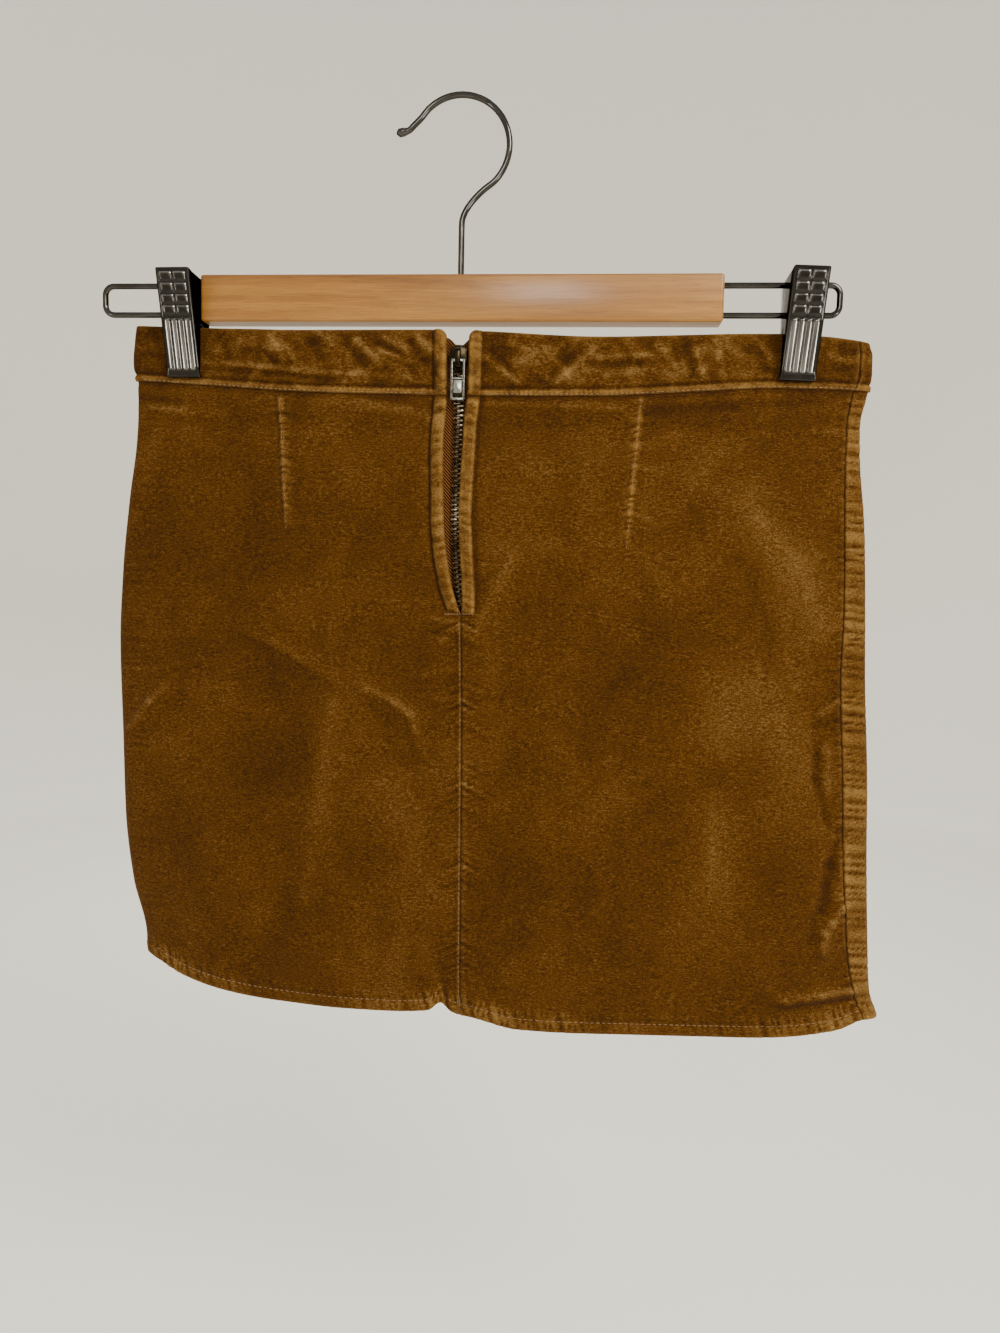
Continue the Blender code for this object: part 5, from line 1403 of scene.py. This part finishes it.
def clip_jaw(name, side, width, pivot, turned, mat):
    """Turned-in lip of a lever's foot, which holds the cloth."""
    foot_y, foot_z = LEVER_FRONT[0]
    shape = bevelled_box((width - 1.0, foot_y - JAW_OUT + 0.6, 1.3), 0.4, 3)
    centre = Vector((0.0, side * (foot_y + JAW_OUT - 0.4) / 2, foot_z + 0.95 - CLIP_PIVOT_Z))
    place = (turned @ centre + Vector(pivot), *(turned @ axis for axis in AXES))
    copies(name, shape, [place], mat)


def clip_spring(name, node, pivot, turned, mat):
    """Coil spring between the two levers."""
    turns, radius, length = 7, 2.4 - 0.45, 11.0
    points = []
    for k in range(turns * 14 + 1):
        angle = 2 * math.pi * k / 14
        local = Vector((-length / 2 + length * k / (turns * 14), radius * math.cos(angle),
                        radius * math.sin(angle)))
        points.append(turned @ local + Vector(pivot))
    wire(name, node, points, 0.9, mat, resolution=2)


def hanger_clips(mat, spring_mat):
    """Two clips, each with a front and a back lever and the spring between them."""
    for word, x, roll in zip(("left", "right"), CLIP_X, CLIP_ROLL):
        place = (x, 0.0, CLIP_PIVOT_Z), Matrix.Rotation(math.radians(roll), 3, "Y")
        ends = (("front", -1, CLIP_WIDTH), ("back", 1, CLIP_BACK_WIDTH))
        for end, side, width in ends:
            clip_lever(f"lever_{word}_{end}", f"clip_{word}_{end}", side, width, *place, mat)
        for end, side, width in ends:
            clip_jaw(f"jaw_{word}_{end}", side, width, *place, mat)
        clip_spring(f"spring_{word}", f"clip_{word}_spring", *place, spring_mat)


# -- stage, light and camera
def build_stage(mat):
    """Round pale floor that curves up to a wall on all sides."""
    rings = np.array(spline_points(STAGE_PROFILE, 4))[1:]
    turns = 64
    angles = [2 * math.pi * k / turns for k in range(turns)]
    verts = [(0.0, 0.0, FLOOR_Z)]
    verts += [(radius * math.cos(a), radius * math.sin(a), z)
              for radius, z in rings for a in angles]
    faces = [(0, 1 + k, 1 + (k + 1) % turns) for k in range(turns)]
    for a in range(1, 1 + (len(rings) - 1) * turns, turns):
        for k in range(turns):
            n = (k + 1) % turns
            faces.append((a + k, a + turns + k, a + turns + n, a + n))
    mesh_object("stage", verts, faces, mat)


def build_light():
    """Soft key from the upper right in front, weak fill and a pale surround."""
    for name, at, size, power, colour in LIGHTS:
        data = bpy.data.lights.new(name, "AREA")
        data.shape, data.size, data.energy, data.color = "SQUARE", size, power, colour
        obj = linked(name, data)
        obj.location = at
        view = Vector(LIGHT_TARGET) - Vector(at)
        obj.rotation_euler = view.to_track_quat("-Z", "Y").to_euler()
    world = bpy.data.worlds.new("pale_surround")
    world.use_nodes = True
    shader = world.node_tree.nodes["Background"]
    shader.inputs["Color"].default_value = (0.97, 0.96, 0.94, 1.0)
    shader.inputs["Strength"].default_value = 0.95
    bpy.context.scene.world = world


def build_camera():
    """Camera at the photograph's viewing angle."""
    pitch, yaw, roll = (math.radians(a) for a in CAMERA_TURN)
    forward = Vector((-math.sin(yaw) * math.cos(pitch), math.cos(yaw) * math.cos(pitch),
                      -math.sin(pitch)))
    right0 = forward.cross(Vector((0, 0, 1))).normalized()
    down0 = forward.cross(right0)
    right = math.cos(roll) * right0 + math.sin(roll) * down0
    down = -math.sin(roll) * right0 + math.cos(roll) * down0
    data = bpy.data.cameras.new("camera")
    data.sensor_fit = "VERTICAL"
    data.sensor_height = 36.0
    data.lens = FOCAL_PIXELS / IMAGE_HEIGHT * data.sensor_height
    data.clip_start = 0.01
    obj = linked("camera", data)
    turn = Matrix((right, -down, -forward)).transposed()
    obj.matrix_world = Matrix.Translation(CAMERA_AT) @ turn.to_4x4()
    bpy.context.scene.camera = obj


def main():
    """Build all that shows round the frame."""
    build_camera()
    build_stage(stage_material())
    build_light()
    cloth = cloth_material()
    metals = {name: metal_material(name, *look) for name, look in METALS.items()}
    tape, dull = tape_material(), metals["dark_brass"]
    build_stitches(build_cloth(cloth), thread_material())
    zip_tape("zip_tape_left", tape, -1)
    zip_tape("zip_tape_right", tape, 1)
    zip_teeth(metals["antique_brass"])
    slider_x = zip_place(sum(SLIDER_Z) / 2)[3]
    zip_slider(dull, slider_x)
    zip_pull(metals["worn_brass"], dull, slider_x)
    hanger_hook(metals["dark_nickel"])
    hanger_rails(metals["dark_nickel"])
    hanger_bar(wood_material())
    hanger_clips(metals["clip_plating"], metals["dark_nickel"])


main()
